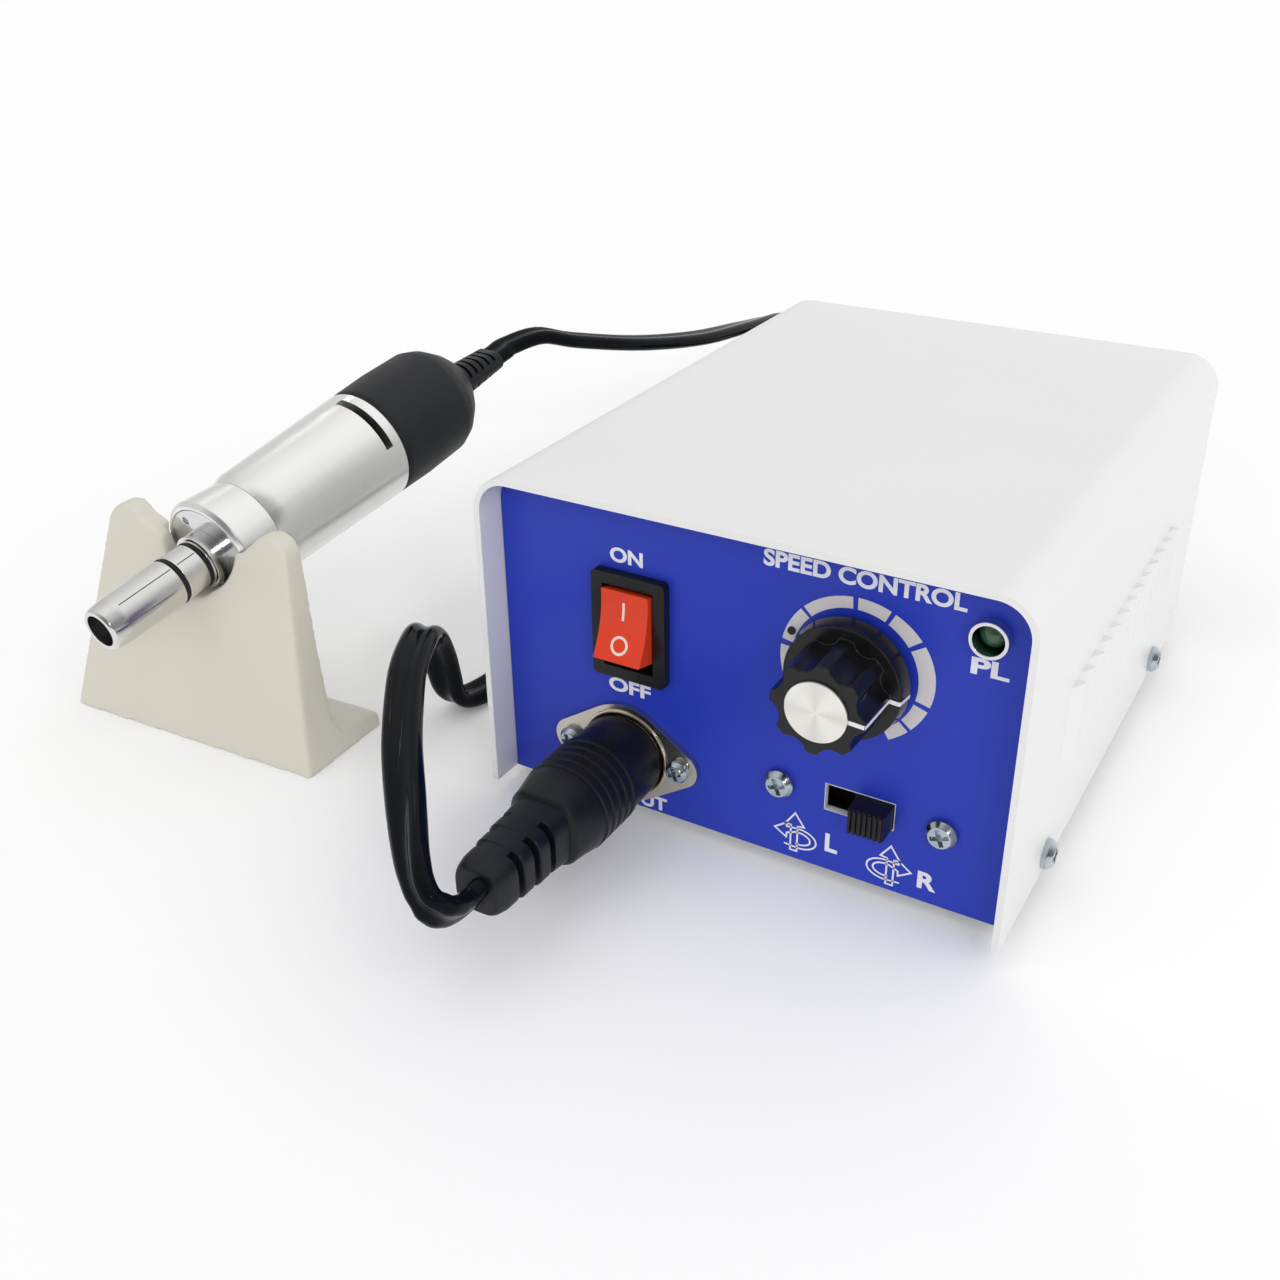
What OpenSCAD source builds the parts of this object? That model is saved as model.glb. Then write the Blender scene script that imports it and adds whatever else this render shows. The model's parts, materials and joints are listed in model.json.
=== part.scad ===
// Dental micromotor set: control box, handpiece on its stand, and the flat cord between them.
// Millimetres, +Z up, front of the box towards -Y. The origin is on the table, in the middle of
// the set's footprint.

/* [Control box] */
// Width of the folded cover
box_w = 102; // [96:1:120]
// Depth of the folded cover
box_d = 129; // [125:1:150]
// Height of the folded cover
box_h = 65; // [64:1:80]
// Thickness of the folded sheet
sheet = 1.2; // [0.8:0.1:1.6]
// Outer radius of the cover's bends
cover_bend = 7; // [4:0.5:10]
// Depth of the front panel behind the cover's front edge
front_recess = 6.5; // [3:0.5:9]
// Depth of the rear plate behind the cover's rear edge
rear_recess = 3; // [1:0.5:5]
// Height of the side lips that the cover screws into
lip_h = 12; // [9:1:16]
// Thickness of the printed front overlay
overlay_t = 0.5; // [0.3:0.1:1]
// Height of the rubber feet
foot_h = 3; // [2:0.5:6]
// Radius of the rubber feet
foot_r = 6; // [4:0.5:8]
// Distance of the feet from the cover's sides
foot_inset = 14; // [10:1:20]

/* [Louvres] */
// Number of louvres on each side
louvre_n = 13; // [4:1:14]
// Distance of the first louvre from the front edge
louvre_y = 26.5; // [20:0.5:30]
// Spacing of the louvres
louvre_pitch = 5.9; // [5:0.1:6.5]
// Height of a louvre
louvre_h = 14.6; // [8:0.2:20]
// Width of a louvre along the side
louvre_w = 3.4; // [2.6:0.1:4]
// How far a louvre stands out
louvre_out = 1.5; // [0.8:0.1:2.5]
// Height of the louvres' lower end above the cover's bottom edge
louvre_z = 22.4; // [16:0.2:30]

/* [Power switch] */
// Distance of the rocker switch from the cover's left side
rocker_x = 29; // [22:0.5:34]
// Height of the rocker switch above the cover's bottom edge
rocker_z = 39; // [37:0.5:42]
// Width of the rocker switch's bezel
bezel_w = 15; // [14:0.5:17]
// Height of the rocker switch's bezel
bezel_h = 21; // [20:0.5:23]
// How far the bezel stands out
bezel_t = 2; // [1.5:0.1:2.5]
// Width of the rocker
rocker_w = 9.6; // [7:0.1:10]
// Half height of the rocker
rocker_half = 6.5; // [5:0.1:6.6]
// Swing of the rocker from ON to OFF
rocker_swing = 30; // [20:1:32]
// Radius of the rocker's pivot pins
pivot_r = 1; // [0.6:0.1:1.4]

/* [Output socket and plug] */
// Distance of the socket from the cover's left side
socket_x = 27.4; // [24:0.2:34]
// Height of the socket above the cover's bottom edge
socket_z = 12; // [11.5:0.5:14]
// Distance between the flange's two screws
flange_pitch = 23.1; // [22:0.1:26]
// Radius of the flange round the socket
flange_r = 10.2; // [10:0.1:11]
// Radius of the flange's screw lobes
lobe_r = 3.8; // [3.3:0.1:4.5]
// Thickness of the flange
flange_t = 1.2; // [0.8:0.1:1.6]
// Bore radius of the socket's barrel
barrel_bore = 8.5; // [8:0.1:8.8]
// Wall of the socket's barrel
barrel_wall = 0.7; // [0.4:0.1:1]
// Length of the plug's metal shell
shell_l = 11.7; // [8:0.1:13]
// Wall of the plug's metal shell
shell_wall = 0.7; // [0.5:0.1:1]
// Radius of the contact pins
pin_r = 0.8; // [0.5:0.1:1.1]
// Circle that the contact pins stand on
pin_circle = 3.6; // [2.5:0.1:4.5]
// Length of the plug's moulded body
plug_l = 46.3; // [44:0.1:52]

/* [Speed control] */
// Distance of the knob from the cover's left side
knob_x = 71.2; // [68:0.2:74]
// Height of the knob above the cover's bottom edge
knob_z = 42; // [40:0.5:46]
// Radius of the knob's skirt
skirt_r = 10.6; // [9:0.1:11.2]
// Thickness of the knob's skirt
skirt_t = 3.5; // [2:0.1:4.5]
// Gap between the skirt and the panel
skirt_gap = 2; // [1:0.1:2.5]
// Radius of the knob's grip at the skirt
grip_r = 8.4; // [8:0.1:9]
// Radius of the knob's grip at the cap
grip_front_r = 8.2; // [7:0.1:8.5]
// Length of the knob's grip
grip_l = 9.3; // [8:0.1:14]
// Number of finger flutes in the grip
flute_n = 8; // [6:1:12]
// Radius of the aluminium cap
cap_r = 5.4; // [4:0.1:6]
// Radius of the potentiometer's shaft
shaft_r = 3; // [2:0.1:3.2]
// Radius of the potentiometer's bush
bush_r = 3.9; // [3.6:0.1:4.2]
// Radius of the potentiometer's case
pot_r = 8; // [7:0.1:9]

/* [Pilot light] */
// Distance of the lamp from the cover's right side
lamp_side = 8.8; // [8:0.2:12]
// Height of the lamp above the cover's bottom edge
lamp_z = 54.3; // [50:0.2:56]
// Radius of the lamp's lens
lamp_r = 2.5; // [1.5:0.1:2.6]
// Outer radius of the chrome ring
ring_r = 3.2; // [3.2:0.1:4]

/* [Direction switch] */
// Distance of the slide switch from the cover's left side
slide_x = 73.9; // [70:0.2:78]
// Height of the slide switch above the cover's bottom edge
slide_z = 15.5; // [13:0.5:17]
// Distance between the slide switch's screws
slide_pitch = 29.9; // [28:0.1:32]
// Width of the slider
slider_w = 6.6; // [5:0.1:8]
// Height of the slider
slider_h = 5; // [4:0.1:6]
// How far the slider stands out of the panel
slider_out = 5; // [3:0.1:7]
// Travel of the slider
slider_travel = 5.8; // [4:0.1:7]

/* [Rear fittings] */
// Distance of the mains inlet from the cover's left side
inlet_x = 34; // [30:0.5:38]
// Height of the mains inlet above the cover's bottom edge
inlet_z = 20; // [17:0.5:26]
// Distance of the pedal jack and the fuse holder from the cover's left side
jack_x = 78; // [74:0.5:84]
// Height of the pedal jack above the cover's bottom edge
jack_z = 16; // [12:0.5:18]
// Bore radius of the pedal jack
jack_bore = 3.2; // [1.8:0.1:3.3]
// Height of the fuse holder above the cover's bottom edge
fuse_z = 42; // [36:0.5:50]

/* [Handpiece] */
// Length of the coupling nose in front of the handpiece's face
nose_l = 28.5; // [24:0.5:34]
// Radius of the coupling nose
nose_r = 5.1; // [4.8:0.1:5.3]
// Bore radius of the coupling nose
nose_bore = 3.45; // [3:0.05:3.8]
// Radius of the boss behind the nose
boss_r = 6; // [5.6:0.1:6.4]
// Radius of the front ring
ring_front_r = 12.1; // [11.6:0.1:12.6]
// Length of the front ring
ring_l = 10.4; // [9.5:0.1:12]
// Radius of the barrel at its rear rim
barrel_rear_r = 13.1; // [12.8:0.1:13.8]
// Distance of the barrel's rear rim from the handpiece's face
barrel_end = 48; // [47:0.5:56]
// Length of the rear cap
rear_cap_l = 32; // [30:0.5:40]
// Length of the strain relief outside the cap
strain_l = 13.8; // [10:0.1:18]
// Radius of the rotor shaft
rotor_r = 1.5; // [1:0.1:1.8]
// Radius of the armature core
armature_r = 7; // [5:0.1:7.1]

/* [Stand] */
// Width of the stand's base
stand_w = 65.7; // [60:0.1:80]
// Height of the stand's horns
stand_h = 46; // [45:0.5:52]
// Depth of the stand's foot
stand_d = 24; // [18:0.5:30]
// Backward lean of the stand's face, in degrees
stand_lean = 14.5; // [10:0.5:15.5]
// Radius of the notch that the handpiece rests in
notch_r = 9.5; // [8.5:0.1:9.8]
// Height of the handpiece's axis at its face
rest_h = 37.9; // [37:0.1:39]
// Upward tilt of the handpiece, in degrees
hand_tilt = 10.2; // [8:0.1:12]

/* [Cord] */
// Width of the flat cord
cord_w = 7.4; // [5:0.1:7.6]
// Thickness of the flat cord
cord_t = 3.5; // [2.5:0.1:3.6]
// Loops in the coil: half of them wind in and half wind out
coil_turns = 3.5; // [1.5:1:5.5]
// Radius of the coil's outer loop
coil_r = 44; // [40:1:46]
// Radial step of the coil from loop to loop
coil_pitch = 4.4; // [4.2:0.1:5]
// Height step between the coil's two layers
coil_layer = 8.2; // [8:0.1:9]

/* [Hidden] */
$fn = 64;

// Clearances
fit = 0.15;       // sheet parts that slide into each other
loose = 0.3;      // pieces that move past each other
snug = 0.05;      // pieces that are pressed or screwed together
run = 0.04;       // shafts and pins in their bores
cut = 1;          // how far a cutting tool runs past a face

// Pan head screws of the panel and the cover
screw_r = 1.5;
screw_head_r = 2.8;
screw_head_h = 1.9;
screw_slot = 0.8;
screw_l = 5;
flange_screw_l = 6;
screw_hole = screw_r + fit;
cover_screw_y = [25, box_d - 25];
cover_screw_z = lip_h / 3;

// Chassis
in_x = sheet + fit;
in_w = box_w - 2 * in_x;
in_h = box_h - in_x;
plate_y = front_recess + overlay_t;
rear_y = box_d - rear_recess;
plate_bend = cover_bend - in_x;
inlet_d = 19;                                        // depth of the mains inlet behind the rear plate
jack_d = 20;                                         // depth of the pedal jack behind the rear plate
foot_stem_r = 2;
foot_button_r = 3;
foot_button_h = 1;

// Rocker switch
rocker_pivot = 1.4;                                  // depth of the pivot behind the panel
rocker_valley = 5.3;                                 // pivot to the middle of the rocker's hollow face
rocker_dish = 0.17 * rocker_half;                    // how hollow the rocker's face is
rocker_tip = rocker_valley + rocker_dish;
rocker_well_w = rocker_w + 2 * loose;
rocker_well_h = 2 * (rocker_half * cos(rocker_swing / 2) + rocker_tip * sin(rocker_swing / 2) + loose);
rocker_cam = 3;
rocker_well_d = rocker_pivot + rocker_cam + 2.5;
switch_rim = 1;                                      // bezel overlap round the panel's cut-out
switch_body_w = bezel_w - 2 * switch_rim;
switch_body_h = bezel_h - 2 * switch_rim;
switch_body_d = 18;
terminal_w = 4.8;
terminal_t = 0.8;
terminal_l = 8;
terminal_z = 4.5;

// Output socket and plug
flange_y = front_recess - flange_t;
rim_r = 0.35;
flange_head_r = 2.3;
barrel_r = barrel_bore + barrel_wall;
barrel_l = 14;
shell_r = barrel_bore - loose;
core_r = shell_r - shell_wall - loose;
plug_y = flange_y - rim_r - loose;                   // front face of the plug's moulded body
shell_end = plug_y + shell_l;
core_y = plug_y + 4.2;
core_end = core_y + shell_l + 0.6;
core_disc = 3;
pin_l = shell_l - 0.5;
tail_l = 4.5;
plug_front_r = barrel_bore - 0.1;
plug_rib_r = 9;
plug_rib_n = 5;
plug_rib_pitch = 2.2;
plug_rib_y = 9.3;
plug_end_r = 4.4;
plug_end_y = plug_y - plug_l;

// Speed control
skirt_y = front_recess - skirt_gap;
grip_y = skirt_y - skirt_t;
grip_front = grip_y - grip_l;
cap_t = 0.6;
skirt_edge = 0.35;
flute_depth = 1.3;
flute_at = grip_r + 1.4;                              // the flutes' middle line from the knob's axis
knob_turn = 94;                                      // the pointer, clockwise from the top
nut_flat = 10;
nut_t = 2;
bush_l = nut_t + 2.5;
knob_hollow_r = nut_flat / 2 / cos(30) + loose;
knob_hollow_end = front_recess - bush_l - loose;
shaft_front = grip_front + 2;
pot_d = 9;
shaft_rear = plate_y + sheet + pot_d / 2;
pot_pin_r = 0.7;
pot_pin = [-11.3, 4.4];                              // the case's locating pin, from the shaft

// Pilot light
lamp_x = box_w - lamp_side;
ring_out = 2.1;
ring_tube_r = lamp_r + 0.45;
ring_tube_l = 6;
lamp_out = 0.9;
lamp_foot_r = lamp_r + 0.4;
lamp_foot = 1;
lead_r = 0.3;
lead_l = 8;
lead_gap = 1.27;

// Slide switch
window_w = slider_w + slider_travel + 2 * loose;
window_h = slider_h + 2 * loose;
frame_y = plate_y + sheet;
frame_t = 0.8;
frame_w = slide_pitch + 2 * screw_head_r + 2;
frame_h = 9.5;
slider_foot_w = slider_w + 3;
slider_foot_h = slider_h + 1.6;
slider_foot_t = 2.4;
switch_well_w = slider_foot_w + slider_travel + 2 * loose;
switch_well_h = slider_foot_h + 2 * loose;
switch_well_d = slider_foot_t + 2 * loose;
switch_case_w = switch_well_w + 2.4;
switch_case_h = switch_well_h + 1.6;
switch_case_d = switch_well_d + 3;
contact = [1.4, 4, 0.8];
contact_pitch = 4.7;

// Circuit board and what stands on it
side_gap = 4;                                        // board to the side lip
core_gap = 4.45;                                     // transformer's strap to the side lip
core_size = [38, 30, 34];
core_leg = 8;
coil_over = 7;
strap = [7, 12, 1];                                  // beyond the core, width, thickness
strap_hole = 3.4;
board_gap = 3.45;                                    // board to the transformer
rear_gap = 2.8;                                      // board to the pedal jack
inlet_gap = 6;                                       // transformer's coil to the mains inlet
core_at = [in_x + sheet + core_gap + strap[0], rear_y - inlet_d - inlet_gap - coil_over - core_size[1]];
board_at = [core_at[0] + core_size[0] + board_gap, 34];
board = [box_w - in_x - sheet - side_gap - board_at[0],
    rear_y - sheet - jack_d - rear_gap - board_at[1], 1.6];
standoff_h = 6;
standoff_r = 2.6;
standoff_inset = 4.5;
board_z = sheet + standoff_h;
cap_can_r = 8;
cap_can_h = 26;
cap_can_share = 0.29;                                // of the board's length, to the capacitor
sink_share = 0.53;                                   // of the board's length, to the heat sink
sink_w = 30;
sink_d = 13;
sink_h = 28;
sink_fins = 7;
sink_fin_t = 1.4;
sink_back = 3;

// Rear fittings
inlet_flange = [48, 22, 2.5];
inlet_body = [27, 19.6, inlet_d];
inlet_mouth = [24, 16.6, 15];
inlet_pin = [4, 2, 9];
inlet_pin_dx = 7;
inlet_pin_dz = 4;
inlet_screw_pitch = 40;
jack_bush_r = 4.8;
jack_out = 5;
jack_nut_flat = 13;
jack_nut_t = 2.2;
jack_case = [15, jack_d, 15];
fuse_r = 6;
fuse_rim_r = 7.5;
fuse_rim_t = 2;
fuse_l = 30;
fuse_cap_r = 5.4;
fuse_cap_out = 7;
fuse_slot = 1.2;

// Handpiece stations, from its face towards the cord
o_ring_t = 0.5;
o_ring_at = [-10.3, -4];
o_ring_r = nose_r - o_ring_t + 0.1;
groove_r = o_ring_r - o_ring_t;
boss_l = 3.2;
nose_tip_r = nose_r - 0.45;
nose_tip_l = 4;
plate_r = 10.5;
face_plate_t = 2;
face_screw_r = 0.8;
face_screw_circle = 8.3;
spigot_r = 5;
spigot_l = 5.5;
ring_wall = ring_front_r - plate_r - snug;
ring_bevel = 0.9;
ring_step = 0.8;                                     // how far the barrel stands out from the ring
ring_step_l = 2.4;
web_at = 8;
web_t = 4.5;
bearing_r = 5.5;
bearing_t = 4.4;
barrel_front_r = ring_front_r;
barrel_in_r = 9.6;
vent_w = 2;
vent_at = barrel_end - 5;
vent_arc = 74;
vent_turn = 304;                                     // the slot's middle, round from the handpiece's right
vent_reach = 3 * barrel_rear_r;
vent_edge = tan(45 - vent_arc / 2);
magnet_in_r = armature_r + 0.4;
magnet_at = web_at + web_t + 4;
magnet_l = barrel_end - magnet_at - 7;
cap_wall = 1.4;
cap_bulge = 0.25;
cap_end = barrel_end + rear_cap_l;
cap_shoulder = cap_end - 8;
cap_end_r = 5.4;
cap_in_r = barrel_rear_r - cap_wall;
cap_spigot_l = 2;
strain_r = 4.25;
strain_flange_r = 5.6;
strain_flange_t = 2;
strain_seat = cap_end - 6;
strain_end = cap_end + strain_l;
strain_tip_w = cord_w + 1;
strain_tip_t = cord_t + 1.2;
strain_ribs = 5;
strain_rib_pitch = 2.3;
strain_rib_w = 0.8;
dog_r = nose_bore - 0.7;
dog_at = 8 - nose_l;
dog_l = 12;
comm_r = 4;
comm_at = barrel_end + 2;
comm_l = 8;
holder_at = comm_at + comm_l + 1;
holder_t = 6;
brush = [3.4, 5, 5];                                 // tangential, radial, along the shaft
brush_gap = 0.1;
brush_box = [5.4, 5.6, 7.4];
rotor_end = holder_at + holder_t - 0.5;

// Stand, and where the handpiece lies in it
stand_at = [-67.2, -17.15];
stand_turn = 2.8;
horn_r = 5;
horn_x = 19.2;
horn_flare = 145;
hand_dx = 1.1;
hand_dy = 13.5;
hand_heading = 3.5;
notch_drop = 3.3;                                    // notch centre above the handpiece's axis
stand_neck = [11, 8];
stand_heel = [13, 4.5];
stand_waist = [13, 24];
stand_top = 5;
stand_foot_h = 3;
hand_along = [sin(hand_heading) * cos(hand_tilt), cos(hand_heading) * cos(hand_tilt), sin(hand_tilt)];
hand_at = [stand_at[0] + hand_dx * cos(stand_turn) - hand_dy * sin(stand_turn),
    stand_at[1] + hand_dx * sin(stand_turn) + hand_dy * cos(stand_turn), rest_h];

// Middle of the footprint, from the corner under the cover's left front edge
reach_left = stand_at[0] - stand_w / 2 * cos(stand_turn) - stand_d * sin(stand_turn);
reach_right = box_w + screw_head_h;
reach_front = hand_at[1] - nose_l * hand_along[1] - nose_tip_r * sin(hand_tilt);
reach_rear = rear_y + fuse_rim_t + fuse_cap_out;
mid_x = (reach_left + reach_right) / 2;
mid_y = (reach_front + reach_rear) / 2;

// Cord: points of its two free stretches, each with the roll of its wide side (0 lies flat)
tie_t = 0.6;
tie_gap = 0.6;
tie_w = 4;
coil_at = [6, 222];
coil_z = tie_t + tie_gap + cord_w / 2;
coil_rings = 24;
stub = cord_w;
cord_floor = cord_t / 2 + 0.05;
function tail(d) = [each hand_at + hand_along * (strain_end + d), 0];
coil_in = [coil_at[0] - stub, coil_at[1] + coil_r, coil_z + coil_layer, 90];
coil_out = [coil_at[0] - stub, coil_at[1] - coil_r, coil_z, 90];
plug_tail = [socket_x, plug_end_y - snug, socket_z + foot_h, 125];
hand_route = [
    tail(snug), tail(stub / 2), tail(stub),
    [-57.5, 105, 56.5, 0], [-53.5, 115.5, 53, 0], [-47.5, 138, 47, 0], [-44, 165.5, 41.5, 0],
    [-44, 195, 37, 10], [-46, 222, 32, 25], [-43, 241, 25, 45], [-34, 256, 18, 65],
    [-20, 264.5, 14, 80],
    coil_in + [-8, 0, 0, 0], coil_in + [-4, 0, 0, 0], coil_in];
plug_route = [
    plug_tail, plug_tail + [0, -1.5, 0, 1], plug_tail + [0, -3, 0, 3],
    [27.6, -46.9, 15.6, 132], [28, -49.3, 16.9, 138], [28, -51.4, 18.7, 132], [27, -52.6, 20.6, 104],
    [25.2, -52.2, 22.3, 76], [22.8, -50.3, 23.4, 62], [19.2, -46.8, 24.2, 48], [11, -37.8, 25.4, 24],
    [0.8, -26, 26.4, 6], [-8.9, -13.2, 27.2, -4], [-14, -5.6, 27.6, -8], [-18.4, 2.5, 27.4, -8],
    [-21.6, 8.6, 26, -6], [-23.2, 12.6, 22.4, 0], [-24, 15.2, 17, 8], [-24.4, 16.8, 11.6, 10],
    [-24.5, 18.2, 6.6, 6], [-24.2, 20.6, 3.6, 2], [-23.6, 24.4, 2.2, 0], [-22.8, 30, cord_floor, 0],
    [-22, 40, cord_floor, 0], [-21.4, 55, cord_floor, 0], [-21, 75, cord_floor, 0], [-21, 98, cord_floor, 0],
    [-22, 120, cord_floor, 0], [-23, 138, 2, 3], [-23, 150, 2.9, 14], [-21.8, 160, 3.9, 34],
    [-18.6, 169, 4.6, 58], [-14, 175, coil_z, 80],
    coil_out + [-8, 0, 0, 0], coil_out + [-4, 0, 0, 0], coil_out];

// Sweeps
function unit(v) = v / norm(v);
function spot(p) = [p[0] - mid_x, p[1] - mid_y, p[2]];
function blend(a, b, c, d, s) = 0.5 * (2 * b + (c - a) * s + (2 * a - 5 * b + 4 * c - d) * s * s
    + (3 * b - a - 3 * c + d) * s * s * s);
function smooth(p, n) = [for (i = [0:len(p) - 2]) for (k = [0:n - 1])
        blend(p[max(i - 1, 0)], p[i], p[i + 1], p[min(i + 2, len(p) - 1)], k / n), p[len(p) - 1]];
function heading(p, i) = unit(spot(p[min(i + 1, len(p) - 1)]) - spot(p[max(i - 1, 0)]));
function flat8(w, t) = [[w / 2, t * 0.22], [w / 2 - t * 0.35, t / 2], [t * 0.35 - w / 2, t / 2],
    [-w / 2, t * 0.22], [-w / 2, -t * 0.22], [t * 0.35 - w / 2, -t / 2], [w / 2 - t * 0.35, -t / 2],
    [w / 2, -t * 0.22]];
function flat6(w, t) = [[w / 2, 0], [w / 2 - t * 0.5, t / 2], [t * 0.5 - w / 2, t / 2],
    [-w / 2, 0], [t * 0.5 - w / 2, -t / 2], [w / 2 - t * 0.5, -t / 2]];
function ring_at(p, i, section) = let (
        along = heading(p, i),
        side = unit(cross(along, [0, 0, 1])),
        over = cross(side, along),
        roll = p[i][3],
        wide = side * cos(roll) + over * sin(roll),
        thin = over * cos(roll) - side * sin(roll))
    [for (q = section) spot(p[i]) + wide * q[0] + thin * q[1]];

// A closed tube through the points of p with the given section
module swept(p, section) {
    n = len(section);
    last = len(p) - 1;
    points = [for (i = [0:last]) each ring_at(p, i, section)];
    sides = [for (i = [0:last - 1]) for (k = [0:n - 1]) let (a = i * n + k, b = i * n + (k + 1) % n)
        each [[a, b, b + n], [a, b + n, a + n]]];
    front = [for (k = [1:n - 2]) [0, k + 1, k]];
    back = [for (k = [1:n - 2]) [last * n, last * n + k, last * n + k + 1]];
    polyhedron(points, concat(sides, front, back));
}

// Coil: clockwise from the top layer's outer loop, in, down a layer and out again
function coil_radius(a) = coil_r - coil_pitch * (coil_turns / 2 - abs(a / 360 - coil_turns / 2));
function coil_height(a) = coil_z + coil_layer * min(1, max(0, 0.5 - (a / 360 - coil_turns / 2) * 2));
function coil_point(a) = [coil_at[0] + coil_radius(a) * sin(a), coil_at[1] + coil_radius(a) * cos(a),
    coil_height(a), 90];
coil_points = concat([coil_in], [for (i = [0:coil_turns * coil_rings]) coil_point(i * 360 / coil_rings)],
    [coil_out]);
coil_skin = [for (i = [1:len(coil_points) - 2]) ring_at(coil_points, i, flat6(cord_w, cord_t))];
coil_gap = min([for (i = [0:len(coil_skin) - 1]) for (k = [coil_rings - 2:coil_rings + 2])
    if (i + k < len(coil_skin)) for (a = coil_skin[i]) for (b = coil_skin[i + k]) norm(a - b)]);
echo("least gap of the coil to itself", coil_gap);

// Frames of the box, the stand and the handpiece
module in_box() {
    translate([-mid_x, -mid_y, foot_h]) children();
}
module in_stand() {
    translate([stand_at[0] - mid_x, stand_at[1] - mid_y, 0]) rotate([0, 0, stand_turn]) children();
}
module in_hand() {
    translate(spot(hand_at)) rotate([hand_tilt, 0, -hand_heading]) rotate([-90, 0, 0]) children();
}

// Shapes that repeat
module rod_y(x, z, y, l, r) {
    translate([x, y, z]) rotate([-90, 0, 0]) cylinder(h = l, r = r);
}
module slab_y(y, l) {
    translate([0, y + l, 0]) rotate([90, 0, 0]) linear_extrude(l) children();
}
module bar_x(l) {
    rotate([90, 0, 90]) translate([0, 0, -l / 2]) linear_extrude(l) children();
}
module round_rect(w, h, r) {
    square([w - 2 * r, h], center = true);
    square([w, h - 2 * r], center = true);
    for (sx = [-1, 1]) for (sz = [-1, 1]) translate([sx * (w / 2 - r), sz * (h / 2 - r)]) circle(r);
}
module arch(x, w, h, r) {
    translate([x, 0]) square([w, h - r]);
    translate([x + r, 0]) square([w - 2 * r, h]);
    for (cx = [x + r, x + w - r]) translate([cx, h - r]) circle(r);
}
module tube(z, l, outer, inner) {
    translate([0, 0, z]) difference() {
        cylinder(h = l, r = outer);
        translate([0, 0, -cut]) cylinder(h = l + 2 * cut, r = inner);
    }
}
// Screw along +Z with its head's seat at z = 0 and its shank below
module pan_screw(r, head_r, head_h, l) {
    difference() {
        union() {
            cylinder(h = head_h * 0.5, r = head_r);
            translate([0, 0, head_h * 0.5]) cylinder(h = head_h * 0.5, r1 = head_r, r2 = head_r * 0.72);
            translate([0, 0, -l]) cylinder(h = l, r = r);
        }
        for (a = [0, 90]) rotate([0, 0, a]) translate([-head_r * 0.6, -screw_slot / 2, head_h * 0.45])
            cube([head_r * 1.2, screw_slot, head_h]);
    }
}
module front_screw(x, z, y, l, head_r) {
    translate([x, y, z]) rotate([90, 0, 0]) rotate([0, 0, 20]) pan_screw(screw_r, head_r, screw_head_h, l);
}

// Control box
module louvre_hood() {
    lip = sheet / 2;
    rise = [[-lip, 0], [0, 0], [louvre_out, louvre_w - lip], [louvre_out, louvre_w]];
    linear_extrude(louvre_h) polygon(concat(rise, [[louvre_out - lip, louvre_w], [-lip, lip + 0.3]]));
    for (z = [0, louvre_h - lip]) translate([0, 0, z]) linear_extrude(lip)
        polygon(concat(rise, [[-lip, louvre_w]]));
}
module louvre_places() {
    for (i = [0:louvre_n - 1]) translate([box_w, louvre_y + i * louvre_pitch, louvre_z]) children();
    translate([box_w, 0, 0]) mirror([1, 0, 0]) for (i = [0:louvre_n - 1])
        translate([box_w, louvre_y + i * louvre_pitch, louvre_z]) children();
}
module top_cover() {
    color([0.93, 0.93, 0.95]) in_box() {
        difference() {
            slab_y(0, box_d) difference() {
                arch(0, box_w, box_h, cover_bend);
                translate([0, -cut]) arch(sheet, box_w - 2 * sheet, box_h - sheet + cut, cover_bend - sheet);
            }
            louvre_places() translate([-sheet - cut, sheet, sheet / 2])
                cube([sheet + 2 * cut, louvre_w - sheet, louvre_h - sheet]);
            for (y = cover_screw_y) translate([-cut, y, cover_screw_z]) rotate([0, 90, 0])
                cylinder(h = box_w + 2 * cut, r = screw_hole);
        }
        louvre_places() louvre_hood();
    }
}
module panel_cuts(y, l) {
    slab_y(y, l) {
        translate([rocker_x, rocker_z])
            square([switch_body_w + 2 * fit, switch_body_h + 2 * fit], center = true);
        translate([slide_x, slide_z]) square([window_w, window_h], center = true);
    }
    rod_y(socket_x, socket_z, y, l, barrel_r + fit);
    for (s = [-1, 1]) rod_y(socket_x + s * flange_pitch / 2, socket_z, y, l, screw_hole);
    for (s = [-1, 1]) rod_y(slide_x + s * slide_pitch / 2, slide_z, y, l, screw_hole);
    rod_y(knob_x, knob_z, y, l, bush_r + fit);
    rod_y(knob_x + pot_pin[0], knob_z + pot_pin[1], y, l, pot_pin_r + fit);
    rod_y(lamp_x, lamp_z, y, l, ring_tube_r + fit);
}
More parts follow.
